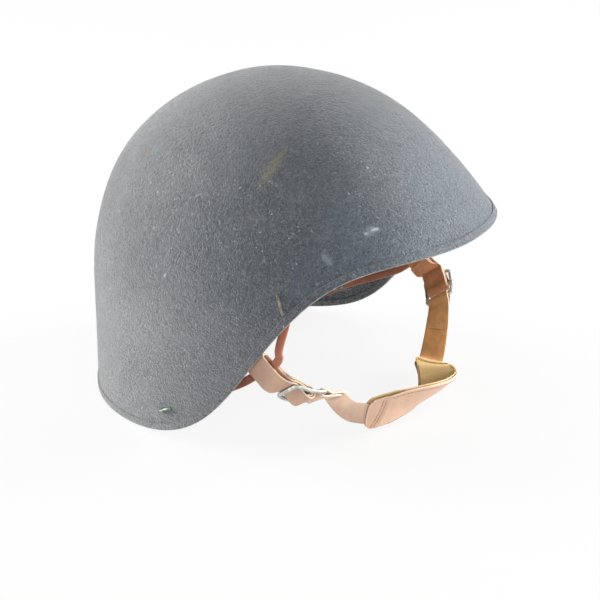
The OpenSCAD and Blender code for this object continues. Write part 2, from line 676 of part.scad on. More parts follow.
module crown_pad() {
    shares = [for (k = [1 : crown_rows]) k / crown_rows];
    top = [for (k = [crown_rows - 1 : -1 : 0]) crown_pad_ring(shares[k], 0)];
    bottom = [for (k = shares) crown_pad_ring(k, crown_pad_t * pad_edge(k))];
    color(sponge)
    capped_loft(concat(bottom, top), [0, 0, 0], [0, 0, crown_pad_t]);
}

shell();
rim_band();
front_staples();
rear_staples();
right_thong();
left_thong();
right_strap();
left_strap();
right_buckle();
left_buckle();
right_tab();
left_tab();
chin_cup();
chin_cup_lining();
crown_pad();
brow_pad();
nape_pad();
right_temple_pad();
left_temple_pad();
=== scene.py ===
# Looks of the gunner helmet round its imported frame. Lengths in the form functions
# are millimetres in the row frame: +X is the wearer's left, the front faces -Y.
import math

import bmesh
import bpy
import numpy as np
from mathutils import Matrix, Vector, noise


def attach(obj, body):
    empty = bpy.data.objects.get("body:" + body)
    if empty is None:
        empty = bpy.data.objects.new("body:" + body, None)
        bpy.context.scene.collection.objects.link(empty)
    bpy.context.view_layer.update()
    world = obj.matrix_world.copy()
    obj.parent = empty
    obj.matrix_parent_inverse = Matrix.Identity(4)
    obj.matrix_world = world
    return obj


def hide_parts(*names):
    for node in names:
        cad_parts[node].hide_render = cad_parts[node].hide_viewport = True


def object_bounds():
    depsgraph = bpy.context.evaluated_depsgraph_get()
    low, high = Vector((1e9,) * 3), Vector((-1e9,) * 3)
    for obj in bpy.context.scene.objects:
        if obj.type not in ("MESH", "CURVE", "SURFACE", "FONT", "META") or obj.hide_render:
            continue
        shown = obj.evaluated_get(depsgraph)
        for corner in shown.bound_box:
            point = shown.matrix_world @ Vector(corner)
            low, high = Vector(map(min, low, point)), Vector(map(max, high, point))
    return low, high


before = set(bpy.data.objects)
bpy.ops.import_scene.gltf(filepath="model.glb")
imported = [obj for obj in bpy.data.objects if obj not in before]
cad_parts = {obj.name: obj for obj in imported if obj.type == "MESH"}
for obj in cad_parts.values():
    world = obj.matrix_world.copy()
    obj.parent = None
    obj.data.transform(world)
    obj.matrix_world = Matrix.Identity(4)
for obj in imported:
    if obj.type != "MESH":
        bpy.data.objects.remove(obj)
cad_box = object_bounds()
bpy.context.scene.view_settings.view_transform = "Standard"

MM = 0.001
HELMET = "helmet"
HARNESS = "chin_harness"
RIGHT = -1
LEFT = 1
SIDES = {"right": RIGHT, "left": LEFT}

# Sizes that part.scad gives
FRONT_REACH = 179
REAR_REACH = 136.5
HALF_WIDTH = 128
CROWN_H = 150.5
SHELL_T = 1.6
PLAN_POWER = 2.12
BROW_FLAT = 0.1
SIDE_FLAT = 0.045
NAPE_FULL = 0.06
BRIM_H = 60.8
TEMPLE_H = 38
NAPE_DROP = 82.7
SWEEP_ANGLE = 69.7
SWEEP_SPREAD = 20.4
BAND_T = 0.7
BAND_REACH = 4.6
BAND_GAP = 0.15
FRONT_STAPLE_ANGLE = 60.8
FRONT_STAPLE_H = 32
REAR_STAPLE_ANGLE = 98.9
REAR_STAPLE_DROP = 60.3
THONG_W = 6
THONG_T = 2.6
THONG_TAIL = 14
THONG_LIFT = 0.7
STRAP_W = 18
LEATHER_T = 1.5
PLY_GAP = 0.25
FOLD_PLAY = 0.45
FOLD_SLACK = 0.8
FOLD_SKEW = math.radians(12)
FOLD_IN = 12
FOLD_AHEAD = 52.5
FOLD_DROP = 18.5
TAIL_START = 3
BAR_D = 2.8
BAR_PITCH = 12
RAIL_PLAY = 0.9
BUCKLE_BOW = 1.6
CORNER_R = 3
BUCKLE_IN = 13
BUCKLE_AHEAD = 69.5
BUCKLE_DROP = 29.5
CUP_HALF = 49.5
CUP_AHEAD = 122.5
CUP_DEPTH = 27
CUP_DROP = 63
CUP_SAG = 6.4
CUP_END_R = 11
CUP_MID_R = 15.25
CUP_BELLY = 2.5
CUP_LEAN = 51
CUP_ROLL = 44
CUP_CUT = 0.04
CUP_T = 1.8
LINING_T = 1.1
TAB_TUCK = 11
TAB_ANGLE = 26
CROWN_PAD_T = 20
CROWN_PAD_LONG = 62
CROWN_PAD_WIDE = 50
BROW_PAD_T = 26
TEMPLE_PAD_T = 18
PAD_LOW = 72
PAD_HIGH = 112
BROW_PAD_SPAN = 34
TEMPLE_PAD_SPAN = 17
GLUE_GAP = 0.6
SEAT_H = CROWN_H - SHELL_T - GLUE_GAP - CROWN_PAD_T
THONG_DEPTH = SHELL_T + THONG_LIFT + THONG_T / 2
RIM_CLEAR = BAND_GAP + BAND_T + PLY_GAP
EXIT_ANGLE = 1.2
TURN_RUN = 14.1
TURN_BEND = 3
TURN_RISE = 10
REAR_RUN = 22.5
REAR_LEAD = [(-2.6, 3), (-1.6, 0.8), (-0.8, 0)]
SWING = math.radians(10)
FOLD_ROOM = STRAP_W / 2 * math.tan(SWING + FOLD_SKEW)
FOLD_HOLD = THONG_W / 2 + FOLD_ROOM + 1
CUP_TURN = 1.7
BELLY_END = 0.8
SHEET_GAP = 0.4
TUCK_RAMP = 10
TUCK_ROOM = 2
TAB_LIFT = 2
TAB_ENTRY = STRAP_W / 2 * math.sin(math.radians(TAB_ANGLE)) + TUCK_ROOM
PAD_SIDE = 0.45
PAD_CROWN = 4

# Steps of the finite differences: in millimetres or degrees, and as a share of a row
STEP = 0.5
SHARE_STEP = 0.01


# Vectors
def unit(v):
    v = np.asarray(v, float)
    return v / np.linalg.norm(v, axis=-1, keepdims=True)


def mix(a, b, t):
    return a + (b - a) * t


def ease(t):
    t = min(max(t, 0), 1)
    return t * t * (3 - 2 * t)


def reject(v, axis):
    return v - (v @ axis) * axis


def spot(out, ahead, up):
    return np.array([out, -ahead, up - SEAT_H], float)


def on_side(side, v):
    return np.array([side * v[0], v[1], v[2]])


def wave(p, size, seed=0.0):
    """Smooth noise from -1 to 1 at a point in millimetres."""
    return noise.noise(Vector((p[0] / size + seed, p[1] / size - seed, p[2] / size + 2 * seed)))


# Shell surface, with angles from the front towards the wearer's left
def rim_h(a):
    front = TEMPLE_H + (BRIM_H - TEMPLE_H) * (1 + np.cos(np.radians(a))) / 2
    swept = 1 + np.exp(2 * (np.abs(a) - SWEEP_ANGLE) / SWEEP_SPREAD)
    return (front + NAPE_DROP) / swept - NAPE_DROP


def plan_r(a):
    c = np.cos(np.radians(a))
    long = np.abs(c / np.where(c >= 0, FRONT_REACH, REAR_REACH))
    wide = np.abs(np.sin(np.radians(a)) / HALF_WIDTH)
    return (long ** PLAN_POWER + wide ** PLAN_POWER) ** (-1 / PLAN_POWER)


def shell_r(a, up):
    c = np.cos(np.radians(a))
    full = np.where(c < 0, NAPE_FULL, -BROW_FLAT) * c * c - SIDE_FLAT * (1 - c * c)
    h = np.clip(np.asarray(up, float) / CROWN_H, 0, 1)
    return plan_r(a) * np.sqrt(1 - h * h) * (1 + full * 4 * h * h * (1 - h * h))


def skin(a, up):
    r = shell_r(a, up)
    s = np.sin(np.radians(a))
    c = np.cos(np.radians(a))
    return np.stack(np.broadcast_arrays(r * s, -r * c, up - SEAT_H), -1)


def skin_normal(a, up):
    around = skin(a + STEP, up) - skin(a - STEP, up)
    return unit(np.cross(around, skin(a, up + STEP) - skin(a, up - STEP)))


def row(a, share):
    return skin(a, rim_h(a) + (CROWN_H - rim_h(a)) * np.cos(np.radians(90 * share)))


def row_normal(a, share):
    around = row(a + STEP, share) - row(a - STEP, share)
    return unit(np.cross(around, row(a, share - SHARE_STEP) - row(a, share + SHARE_STEP)))


def under(a, up, depth):
    return skin(a, up) - depth * skin_normal(a, up)


def all_round(count):
    return 360 * np.arange(count) / count - 180


def angle_of(p):
    return np.degrees(np.arctan2(p[..., 0], -p[..., 1]))


def rim_frames(a):
    """Points, normals and ways off the rim, and the strip's inner line with its normals."""
    p = skin(a, rim_h(a))
    n = skin_normal(a, rim_h(a))
    ahead = skin(a + STEP, rim_h(a + STEP)) - skin(a - STEP, rim_h(a - STEP))
    off = unit(np.cross(ahead, n))
    q = p - off * BAND_REACH
    b = angle_of(q)
    up = q[..., 2] + SEAT_H
    return p, n, off, skin(b, up), skin_normal(b, up)


# Objects and meshes
def placed(name, data):
    made = bpy.data.objects.new(name, data)
    bpy.context.scene.collection.objects.link(made)
    return made


def piece(name, points, faces, body, material, replaced=(), marks=None, sharp=40):
    """A smooth mesh on a body, with the CAD nodes it stands for and marks for its material."""
    mesh = bpy.data.meshes.new(name)
    mesh.from_pydata((np.asarray(points, float) * MM).tolist(), [], faces)
    work = bmesh.new()
    work.from_mesh(mesh)
    bmesh.ops.recalc_face_normals(work, faces=work.faces)
    work.to_mesh(mesh)
    work.free()
    for key, values in (marks or {}).items():
        mark = mesh.attributes.new(key, "FLOAT", "POINT")
        mark.data.foreach_set("value", np.asarray(values, np.float32))
    mesh.polygons.foreach_set("use_smooth", [True] * len(mesh.polygons))
    mesh.set_sharp_from_angle(angle=math.radians(sharp))
    made = placed(name, mesh)
    mesh.materials.append(material)
    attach(made, body)
    if replaced:
        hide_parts(*replaced)
    return made


def fan(tip, a, around):
    """Faces between a point and a ring of points that starts at a."""
    return [(tip, a + j, a + (j + 1) % around) for j in range(around)]


def between(a, b, around):
    """Faces between two rings of points, which start at a and b."""
    return [(a + j, a + (j + 1) % around, b + (j + 1) % around, b + j) for j in range(around)]


def ring_faces(count, around, loop=False):
    """Faces between rings of points, which close into a loop or end in two caps."""
    faces = []
    for i in range(count if loop else count - 1):
        faces += between(i * around, (i + 1) % count * around, around)
    if not loop:
        faces.append(tuple(reversed(range(around))))
        faces.append(tuple(range((count - 1) * around, count * around)))
    return faces


def ways(path, loop=False):
    """Directions along a path at its points."""
    if loop:
        return unit(np.roll(path, -1, 0) - np.roll(path, 1, 0))
    return unit(np.concatenate([path[1:], path[-1:]]) - np.concatenate([path[:1], path[:-1]]))


# A way that no tube starts along
ASKEW = np.array([0.31, 0.47, 0.82])


def tube(path, radius, sides, loop=False):
    """Points and faces of a round tube along a path, with one radius or one for each point."""
    path = np.asarray(path, float)
    rings = []
    u = ASKEW
    for p, t, r in zip(path, ways(path, loop), np.broadcast_to(radius, len(path))):
        u = unit(reject(u, t))
        v = np.cross(t, u)
        rings.append([p + r * (math.cos(a) * u + math.sin(a) * v)
                      for a in np.linspace(0, 2 * math.pi, sides, endpoint=False)])
    return np.concatenate(rings), ring_faces(len(path), sides, loop)


def joined(parts):
    """One list of points and faces from several."""
    points, faces = [], []
    for more, shapes in parts:
        base = sum(len(p) for p in points)
        points.append(np.asarray(more, float))
        faces.extend(tuple(base + i for i in f) for f in shapes)
    return np.concatenate(points), faces


# Materials
def srgb(r, g, b):
    def linear(c):
        c /= 255
        return c / 12.92 if c <= 0.04045 else ((c + 0.055) / 1.055) ** 2.4
    return (linear(r), linear(g), linear(b), 1)


def darker(colour, share):
    return tuple(share * c for c in colour[:3]) + (1,)


class Nodes:
    """A node tree: each method adds a node, and all but add give back its output."""

    def __init__(self, tree):
        self.tree = tree

    def add(self, kind, links=None, **settings):
        node = self.tree.nodes.new("ShaderNode" + kind)
        for key, value in settings.items():
            setattr(node, key, value)
        for key, value in (links or {}).items():
            self.plug(node.inputs[key], value)
        return node

    def plug(self, socket, value):
        if isinstance(value, bpy.types.NodeSocket):
            self.tree.links.new(value, socket)
        elif value is not None:
            socket.default_value = value

    def math(self, kind, *values):
        return self.add("Math", dict(enumerate(values)), operation=kind).outputs[0]

    def times(self, a, b):
        return self.math("MULTIPLY", a, b)

    def times_plus(self, a, b, c):
        return self.math("MULTIPLY_ADD", a, b, c)


class Look(Nodes):
    """The nodes of a material. Colours are laid over its tone, and its shader's values named."""

    def __init__(self, name, tone, **values):
        self.material = bpy.data.materials.new(name)
        self.material.use_nodes = True
        super().__init__(self.material.node_tree)
        self.tone = tone
        self.shader = self.tree.nodes["Principled BSDF"]
        for key, value in values.items():
            self.shader.inputs[key.replace("_", " ")].default_value = value
        self.coords = self.add("TexCoord").outputs["Object"]

    def noise(self, scale, detail=4, rough=0.55, distort=0.0):
        return self.add("TexNoise", {
            "Vector": self.coords, "Scale": scale, "Detail": detail,
            "Roughness": rough, "Distortion": distort}).outputs["Fac"]

    def cells(self, scale, smooth):
        return self.add("TexVoronoi", {
            "Vector": self.coords, "Scale": scale, "Smoothness": smooth},
            feature="SMOOTH_F1").outputs["Distance"]

    def step(self, value, low, high, a=0.0, b=1.0):
        return self.add("MapRange", {
            "Value": value, "From Min": low, "From Max": high, "To Min": a, "To Max": b},
            interpolation_type="SMOOTHSTEP").outputs["Result"]

    def blend(self, share, a, b):
        return self.add("Mix", {"Factor": share, 6: a, 7: b}, data_type="RGBA").outputs[2]

    def cover(self, share, colour):
        self.tone = self.blend(share, self.tone, colour)

    def layer(self, value, low, high, colour, share=1.0):
        """Covers the tone by a share where a value has gone from low to high."""
        self.cover(self.step(value, low, high, 0, share), colour)

    def mark(self, name):
        return self.add("Attribute", attribute_name=name).outputs["Fac"]

    def patch(self, centre, along, width, fray):
        """1 in a frayed spot, 0 away from it: its centre and half sizes are in millimetres."""
        along = Vector(along)
        local = self.add("Mapping", {
            "Vector": self.coords, "Location": [c * MM for c in centre],
            "Rotation": along.to_track_quat("X", "Z").to_euler(),
            "Scale": [along.length * MM, width * MM, width * MM]}, vector_type="TEXTURE").outputs[0]
        ball = self.add("TexGradient", {"Vector": local},
                        gradient_type="SPHERICAL").outputs["Fac"]
        torn = self.step(self.math("ADD", ball, fray), 0.15, 0.7)
        return self.times(torn, self.step(ball, 0.0, 0.12))

    def bump(self, height, distance, strength=1.0, under_it=None):
        return self.add("Bump", {
            "Height": height, "Distance": distance * MM, "Strength": strength,
            "Normal": under_it}).outputs["Normal"]

    def finish(self, roughness, normal):
        self.plug(self.shader.inputs["Base Color"], self.tone)
        self.plug(self.shader.inputs["Roughness"], roughness)
        self.plug(self.shader.inputs["Normal"], normal)
        return self.material


# Scuffs and stains, in millimetres: centre, half length with its way, half width, and then
# colour and strength
SCUFFS = [
    ((-79, -37, -19), (16, -5, 15), 5.2, (128, 120, 88), 0.55),
    ((-72, -107, -52), (7, -6, 2), 5.5, (150, 160, 170), 0.6),
    ((-70, -109, -51), (2.8, -2.4, 0.8), 1.7, (212, 218, 224), 0.8),
    ((-75, -105, -53), (2.6, -0.8, -1.4), 1.3, (204, 210, 216), 0.75),
    ((-72, -106, -56), (1.6, -1.2, 0.4), 1.2, (204, 210, 216), 0.75),
    ((-96, -88, -67), (0.2, -7, -5), 4.2, (146, 156, 166), 0.55),
    ((-48, -92, -18), (-0.8, -1.8, -1.7), 1.5, (220, 226, 230), 0.9),
    ((-67, -88, -31), (-0.6, -1.4, -1.5), 1.2, (200, 204, 190), 0.8),
    ((-108, -72, -79), (-5, 2, -10), 4.2, (58, 74, 94), 0.6),
    ((35, -66, 3), (-3, -8.8, -2.6), 0.9, (214, 218, 220), 0.7),
    ((45, -92, -17), (0.2, -6.5, -4.9), 1.1, (214, 218, 220), 0.6),
    ((-122, 21, -91), (1, -2, 4), 1.3, (225, 228, 232), 0.9),
    ((-109, 37, -65), (0.4, -3, 2), 1.1, (190, 192, 194), 0.6),
    ((-97, 42, -44), (1.4, -2.4, 0), 1.0, (192, 194, 196), 0.6),
    ((-99, 9, -40), (1.4, -3, 1.4), 1.1, (180, 184, 188), 0.5),
    ((-93, 76, -65), (-3, -5, -0.5), 1.5, (222, 222, 220), 0.7),
    ((-91, 93, -91), (-4, -4, -3), 1.8, (222, 222, 220), 0.6),
    ((-60, -9, 3), (2, -1, 0), 1.8, (86, 60, 46), 0.8),
    ((-73, 66, -26), (-2, -2.8, -0.4), 2.0, (178, 116, 62), 0.6),
    ((-80, 82, -38), (6, 8, 8), 7.0, (128, 92, 66), 0.45),
    ((-100, 72, -60), (3, 6, 7), 5.0, (134, 100, 72), 0.35),
]

# Paint: its colours, with painted light and shade in its tones and grain, those of what lies on it
# or shows through, and its relief in millimetres
PAINT_SIDE_SHADED = srgb(56, 64, 73)
PAINT_REAR_LIT = srgb(129, 132, 134)
PAINT_FRONT_LIT = srgb(95, 112, 126)
PAINT_CLOUD = srgb(66, 74, 84)
PIT_SHADE = srgb(8, 12, 18)
RIDGE_HIGHLIGHT = srgb(244, 250, 255)
DUST = srgb(122, 124, 127)
SPECK = srgb(204, 206, 208)
CHIP = srgb(92, 66, 50)
RUBBED = srgb(138, 128, 116)
RUST = srgb(112, 84, 64)
PAINT_DEPTH = 2.3
DENT_DEPTH = 0.9


def paint(name, worn):
    """Thick rough paint over steel, with painted light and shade in its tones and grain, with chips
    and rust, and with scuffs where it is worn.
    """
    look = Look(name, PAINT_SIDE_SHADED, Specular_IOR_Level=0.6, Sheen_Weight=0.9, Sheen_Roughness=0.3)
    # Painted light and shade: the sides are darker as painted shade over the paint's own dark tone,
    # and the rear lighter grey and the front blue-grey as painted light. These meet unevenly under
    # darker clouds
    back = look.add("SeparateXYZ", {"Vector": look.coords}).outputs["Y"]
    back = look.times_plus(look.noise(14, 3), 0.06, back)
    look.layer(back, -0.02, 0.13, PAINT_REAR_LIT)
    look.layer(back, -0.01, -0.12, PAINT_FRONT_LIT)
    look.layer(look.noise(18, 4, 0.6, 0.6), 0.35, 0.7, PAINT_CLOUD, 0.4)
    # Painted shade in the pits and painted highlight on the ridges of the rough grain
    grain = look.noise(440, 4, 0.6, 1.4)
    height = look.times_plus(look.noise(980, 3, 0.6, 0.8), 0.4, grain)
    look.layer(grain, 0.52, 0.38, PIT_SHADE, 0.55)
    look.layer(grain, 0.53, 0.66, RIDGE_HIGHLIGHT, 0.1)
    # Dust, pale specks and chips
    look.layer(look.times(look.noise(30, 5, 0.65), look.noise(620, 2)), 0.27, 0.42, DUST, 0.5)
    specks = look.step(look.noise(560, 2, 0.6), 0.655, 0.7, 0, 0.85)
    look.cover(look.times(specks, look.step(look.noise(26, 4, 0.7), 0.46, 0.6)), SPECK)
    look.layer(look.noise(300, 2, 0.6), 0.765, 0.78, CHIP, 0.6)
    if worn:
        fray = look.times(look.math("SUBTRACT", look.noise(420, 5, 0.7), 0.5), 1.8)
        for centre, along, width, colour, share in SCUFFS:
            look.cover(look.times(look.patch(centre, along, width, fray), share), srgb(*colour))
    # Edges rubbed thin, and rust near the rim
    look.layer(look.times(look.mark("wear"), look.noise(160, 4, 0.7)), 0.36, 0.5, RUBBED, 0.8)
    rust = look.step(look.noise(75, 6, 0.75), 0.56, 0.72, 0, 0.4)
    look.cover(look.times(rust, look.mark("rust")), RUST)
    dents = look.bump(look.noise(22, 2), DENT_DEPTH, 0.35)
    return look.finish(look.step(look.noise(40, 3), 0.3, 0.7, 0.4, 0.52),
                       look.bump(height, PAINT_DEPTH, 1.0, dents))


WIRE_GRIME = srgb(84, 70, 58)
WIRE_DEPTH = 0.12


def wire_finish(name, base, stain, metallic):
    look = Look(name, base, Metallic=metallic)
    look.layer(look.noise(260, 4, 0.65), 0.4, 0.62, stain)
    look.layer(look.noise(700, 3), 0.62, 0.72, WIRE_GRIME, 0.6)
    return look.finish(look.step(look.noise(300, 3), 0.3, 0.7, 0.32, 0.5),
                       look.bump(look.noise(480, 4, 0.6), WIRE_DEPTH, 0.7))


GRAIN_DEPTH = 0.1
CREASE_DEPTH = 0.5


def leather(name, face, flesh, cut, dark, gloss=0.5, nap=0.08):
    """Leather with a grain face, its flesh side where `inner` is 1, raw edges where `edge` is 1."""
    look = Look(name, face, Specular_IOR_Level=0.35, Sheen_Weight=nap, Sheen_Roughness=0.5,
                Sheen_Tint=face)
    # Grain face with clouds and streaks, and the flesh side
    look.layer(look.noise(42, 4, 0.6), 0.35, 0.7, dark)
    look.layer(look.noise(170, 5, 0.7, 0.8), 0.55, 0.75, dark, 0.35)
    back = look.blend(look.step(look.noise(90, 5, 0.7), 0.35, 0.7), flesh, darker(flesh, 0.72))
    look.layer(look.mark("inner"), 0.45, 0.6, back)
    # Soiled places and raw edges
    look.layer(look.noise(24, 3), 0.55, 0.75, darker(dark, 0.6), 0.3)
    look.layer(look.times_plus(look.noise(520, 3), 0.3, look.mark("edge")), 0.62, 0.9, cut)
    # Pores over creases
    pores = look.times(look.cells(1040, 0.2), 0.5)
    height = look.times_plus(look.noise(650, 5, 0.65), 0.8, pores)
    creases = look.bump(look.noise(70, 3, 0.6, 1.2), CREASE_DEPTH, 0.3)
    return look.finish(look.step(look.noise(120, 3), 0.3, 0.7, gloss - 0.07, gloss + 0.1),
                       look.bump(height, GRAIN_DEPTH, 0.8, creases))


THREAD_DEPTH = 0.08


def thread(name, colour):
    look = Look(name, colour)
    look.layer(look.noise(800, 3), 0.35, 0.65, darker(colour, 0.55))
    return look.finish(0.8, look.bump(look.noise(2600, 2), THREAD_DEPTH, 0.8))


FOAM_FACE = srgb(150, 128, 96)
FOAM_CLOUD = srgb(118, 97, 70)
FOAM_PORE = srgb(70, 56, 40)
FOAM_STAIN = srgb(92, 74, 52)
FOAM_DEPTH = 0.5


def foam(name):
    look = Look(name, FOAM_FACE, Sheen_Weight=0.2, Sheen_Roughness=0.6)
    pores = look.cells(520, 0.1)
    look.layer(look.noise(30, 4, 0.65), 0.3, 0.7, FOAM_CLOUD)
    look.layer(pores, 0.28, 0.12, FOAM_PORE, 0.75)
    look.layer(look.noise(12, 3), 0.56, 0.7, FOAM_STAIN, 0.5)
    height = look.times_plus(look.noise(900, 3), 0.4, look.step(pores, 0.1, 0.45))
    return look.finish(0.92, look.bump(height, FOAM_DEPTH, 0.9))


shell_paint = paint("shell_paint", True)
band_paint = paint("band_paint", False)
front_wire = wire_finish("front_wire", srgb(134, 130, 122), srgb(104, 94, 84), 0.35)
rear_wire = wire_finish("rear_wire", srgb(84, 104, 88), srgb(150, 160, 140), 0.35)
nickel = wire_finish("nickel", srgb(206, 206, 200), srgb(168, 168, 160), 0.7)
thong_look = leather("thong_look", face=srgb(168, 105, 83), flesh=srgb(160, 98, 70),
                     cut=srgb(186, 130, 104), dark=srgb(106, 60, 48), gloss=0.42)
strap_look = leather("strap_look", face=srgb(194, 160, 138), flesh=srgb(208, 142, 98),
                     cut=srgb(232, 208, 182), dark=srgb(178, 144, 124))
tab_look = leather("tab_look", face=srgb(222, 192, 170), flesh=srgb(238, 176, 114),
                   cut=srgb(236, 214, 188), dark=srgb(194, 160, 138))
cup_look = leather("cup_look", face=srgb(226, 190, 166), flesh=srgb(226, 180, 126),
                   cut=srgb(240, 214, 190), dark=srgb(214, 176, 152), gloss=0.48)
lining_look = leather("lining_look", face=srgb(250, 212, 150), flesh=srgb(244, 200, 132),
                      cut=srgb(246, 222, 180), dark=srgb(240, 196, 130), gloss=0.6, nap=0.7)
thread_look = thread("thread_look", srgb(184, 146, 122))
foam_look = foam("foam_look")


# Shell: the drawn steel, without its holes, which lie hidden under the staples. Its dents are waves
# of a height, a size and a seed, sunk a little, which fade out towards the rim, where rust comes in
TURNS = 320
ROWS = 72
DENTS = ((0.3, 46, 3.1), (0.12, 17, 8.4))
DENT_SINK = 0.15
DENT_FADE = 6
RUST_FROM = 0.8


def make_shell():
    angles = all_round(TURNS)
    outer, inner, rust = [[0, 0, CROWN_H - SEAT_H]], [[0, 0, CROWN_H - SEAT_H - SHELL_T]], [0]
    for i in range(1, ROWS + 1):
        share = i / ROWS
        points = row(angles, share)
        normals = row_normal(angles, share)
        dents = np.array([sum(high * wave(p, size, seed) for high, size, seed in DENTS)
                          for p in points]) - DENT_SINK
        points = points + normals * (dents * ease((1 - share) * DENT_FADE))[:, None]
        outer.extend(points)
        inner.extend(points - normals * SHELL_T)
        rust.extend([ease((share - RUST_FROM) / (1 - RUST_FROM))] * TURNS)
    half = len(outer)
    rim = half - TURNS
    faces = []
    for base in (0, half):
        faces += fan(base, base + 1, TURNS)
        for a in range(base + 1, base + rim, TURNS):
            faces += between(a, a + TURNS, TURNS)
    faces += between(rim, half + rim, TURNS)
    piece("painted_shell", outer + inner, faces, HELMET, shell_paint, ["shell"],
          {"rust": rust + rust, "wear": [0] * (2 * half)})


# Edging strip: how far its free edges waver and its outer faces swell
BAND_TURNS = 480
BAND_WAVER = 0.3
BAND_SWELL = 0.07


def make_band():
    """Folded edging strip. A point of its outline is a share of its reach, millimetres off the
    rim, millimetres over the skin, and how worn it is."""
    face = BAND_GAP + BAND_T
    back = SHELL_T + face
    middle = -SHELL_T / 2
    bend = face - middle
    outline = [(0, 0, BAND_GAP, 0.6), (0, 0, 0.6 * face, 1), (0.04, 0, 0.93 * face, 1),
               (0.12, 0, face, 0.5), (0.5, 0, face, 0.1), (0.9, 0, face, 0.3)]
    for turn in (70, 45, 22, 0, -22, -45, -70):
        a = math.radians(turn)
        worn = 1 if abs(turn) < 50 else 0.8
        outline.append((1, face * math.cos(a), middle + bend * math.sin(a), worn))
    outline += [(0.9, 0, -back, 0.2), (0.5, 0, -back, 0), (0.12, 0, -back, 0.3),
                (0.04, 0, -0.97 * back, 0.8), (0, 0, -0.9 * back, 0.8),
                (0, 0, -SHELL_T - BAND_GAP, 0.3), (0.6, 0, -SHELL_T - BAND_GAP, 0),
                (1, BAND_GAP, -SHELL_T - BAND_GAP, 0), (1, BAND_GAP, BAND_GAP, 0),
                (0.6, 0, BAND_GAP, 0)]
    p, n, off, q, m = rim_frames(all_round(BAND_TURNS))
    waver = BAND_WAVER * np.array([wave(x, 9, 5.2) for x in p])
    swell = BAND_SWELL * np.array([wave(x, 24, 1.7) for x in p])
    rings = np.zeros((BAND_TURNS, len(outline), 3))
    for j, (share, out, high, _) in enumerate(outline):
        outside = abs(high - middle) > SHELL_T / 2 + 2 * BAND_GAP
        lift = high + swell * outside
        spots = mix(q, p, share) + off * (out + (1 - share) * waver)[:, None]
        rings[:, j] = spots + unit(mix(m, n, share)) * lift[:, None]
    wear = np.tile([o[3] for o in outline], BAND_TURNS)
    piece("folded_rim", rings.reshape(-1, 3), ring_faces(BAND_TURNS, len(outline), True), HELMET,
          band_paint, ["rim_band"],
          {"wear": wear, "rust": np.full(len(wear), 0.8)}, 55)


# Flat leather: how round its edges are, and turns round an edge with how raw they look
EDGE_ROUND = 0.45
EDGE_TURNS = [(-60, 0.55), (-30, 0.95), (0, 1.0), (30, 0.95), (60, 0.55)]


def outline_of(width, thick, columns):
    """A strap's cross-section: across, out of its face, and how far round the edge."""
    r = thick * EDGE_ROUND
    half = width / 2 - r
    xs = np.linspace(half, -half, columns + 1)
    shape = [(x, -thick / 2, 0.0) for x in xs]
    for way, turns, face in ((-1, EDGE_TURNS, xs[::-1]), (1, EDGE_TURNS[::-1], [])):
        for turn, edge in turns:
            a = math.radians(turn)
            shape.append((way * (half + r * math.cos(a)), thick / 2 * math.sin(a), edge))
        shape += [(x, thick / 2, 0.0) for x in face]
    return shape


def ribbon(view, place, width, thick, columns, ripple=None, flesh=None):
    """Leather along a side view, where place(s, y, x) puts a point in space."""
    shape = outline_of(width, thick, columns)
    view = np.asarray(view, float)
    points, edge, inner = [], [], []
    for (s, y), t in zip(view, ways(view)):
        n = np.array([-t[1], t[0]])
        for x, out, rim in shape:
            high = out + (ripple(s, y, x) if ripple else 0)
            points.append(place(s + n[0] * high, y + n[1] * high, x))
            edge.append(rim)
            inner.append(flesh(s, y, n, out) if flesh else 0.5 - 0.5 * n[1] * np.sign(out))
    return points, ring_faces(len(view), len(shape)), {"edge": edge, "inner": inner}


def smooth_curve(pts, steps):
    """Catmull-Rom curve through points."""
    pts = np.asarray(pts, float)
    n = len(pts) - 1
    line = []
    for i in range(n):
        b, c = pts[i], pts[i + 1]
        a = pts[i - 1] if i > 0 else 2 * b - c
        d = pts[i + 2] if i + 2 <= n else 2 * c - b
        for k in range(steps):
            t = k / steps
            line.append(0.5 * (2 * b + (c - a) * t + (2 * a - 5 * b + 4 * c - d) * t ** 2
                               + (3 * b - a - 3 * c + d) * t ** 3))
    return np.array(line + [pts[n]])


# Thongs, each from the front staple through its strap's fold to the rear staple. A free stretch
# wavers out of its face and swells across it
FOLD_CENTRE = spot(HALF_WIDTH - FOLD_IN, FOLD_AHEAD, -FOLD_DROP)
FOLD_RUN = np.array([0, 0.8, -0.6])
FOLD_FACE = np.array([1.0, 0, 0])
FOLD_LINE = FOLD_RUN * math.cos(FOLD_SKEW) - np.cross(FOLD_FACE, FOLD_RUN) * math.sin(FOLD_SKEW)
REAR_EXIT = FOLD_CENTRE + FOLD_RUN * REAR_RUN
EXIT_AT = FRONT_STAPLE_ANGLE - EXIT_ANGLE
FRONT_EXIT = under(EXIT_AT, rim_h(EXIT_AT) + BAND_REACH, THONG_DEPTH + RIM_CLEAR)
STAPLES = {True: (FRONT_STAPLE_ANGLE, FRONT_STAPLE_H),
           False: (REAR_STAPLE_ANGLE, -REAR_STAPLE_DROP)}
THONG_STEPS = 12
THONG_COLUMNS = 5
THONG_WAVER = 0.16
THONG_SWELL = 0.05
THONG_CROWN = 0.06
THONG_RAW = 0.9


def stapled(front, k, over=0.0):
    """A point of the thong from a staple, 0, to its end, 1, and the shell's normal there."""
    a, up = STAPLES[front]
    end = under(a, up, THONG_DEPTH)
    p = end + unit(end - (FRONT_EXIT if front else REAR_EXIT)) * THONG_TAIL * k
    b = angle_of(p)
    n = skin_normal(b, p[2] + SEAT_H)
    return under(b, p[2] + SEAT_H, THONG_DEPTH) - n * over, n


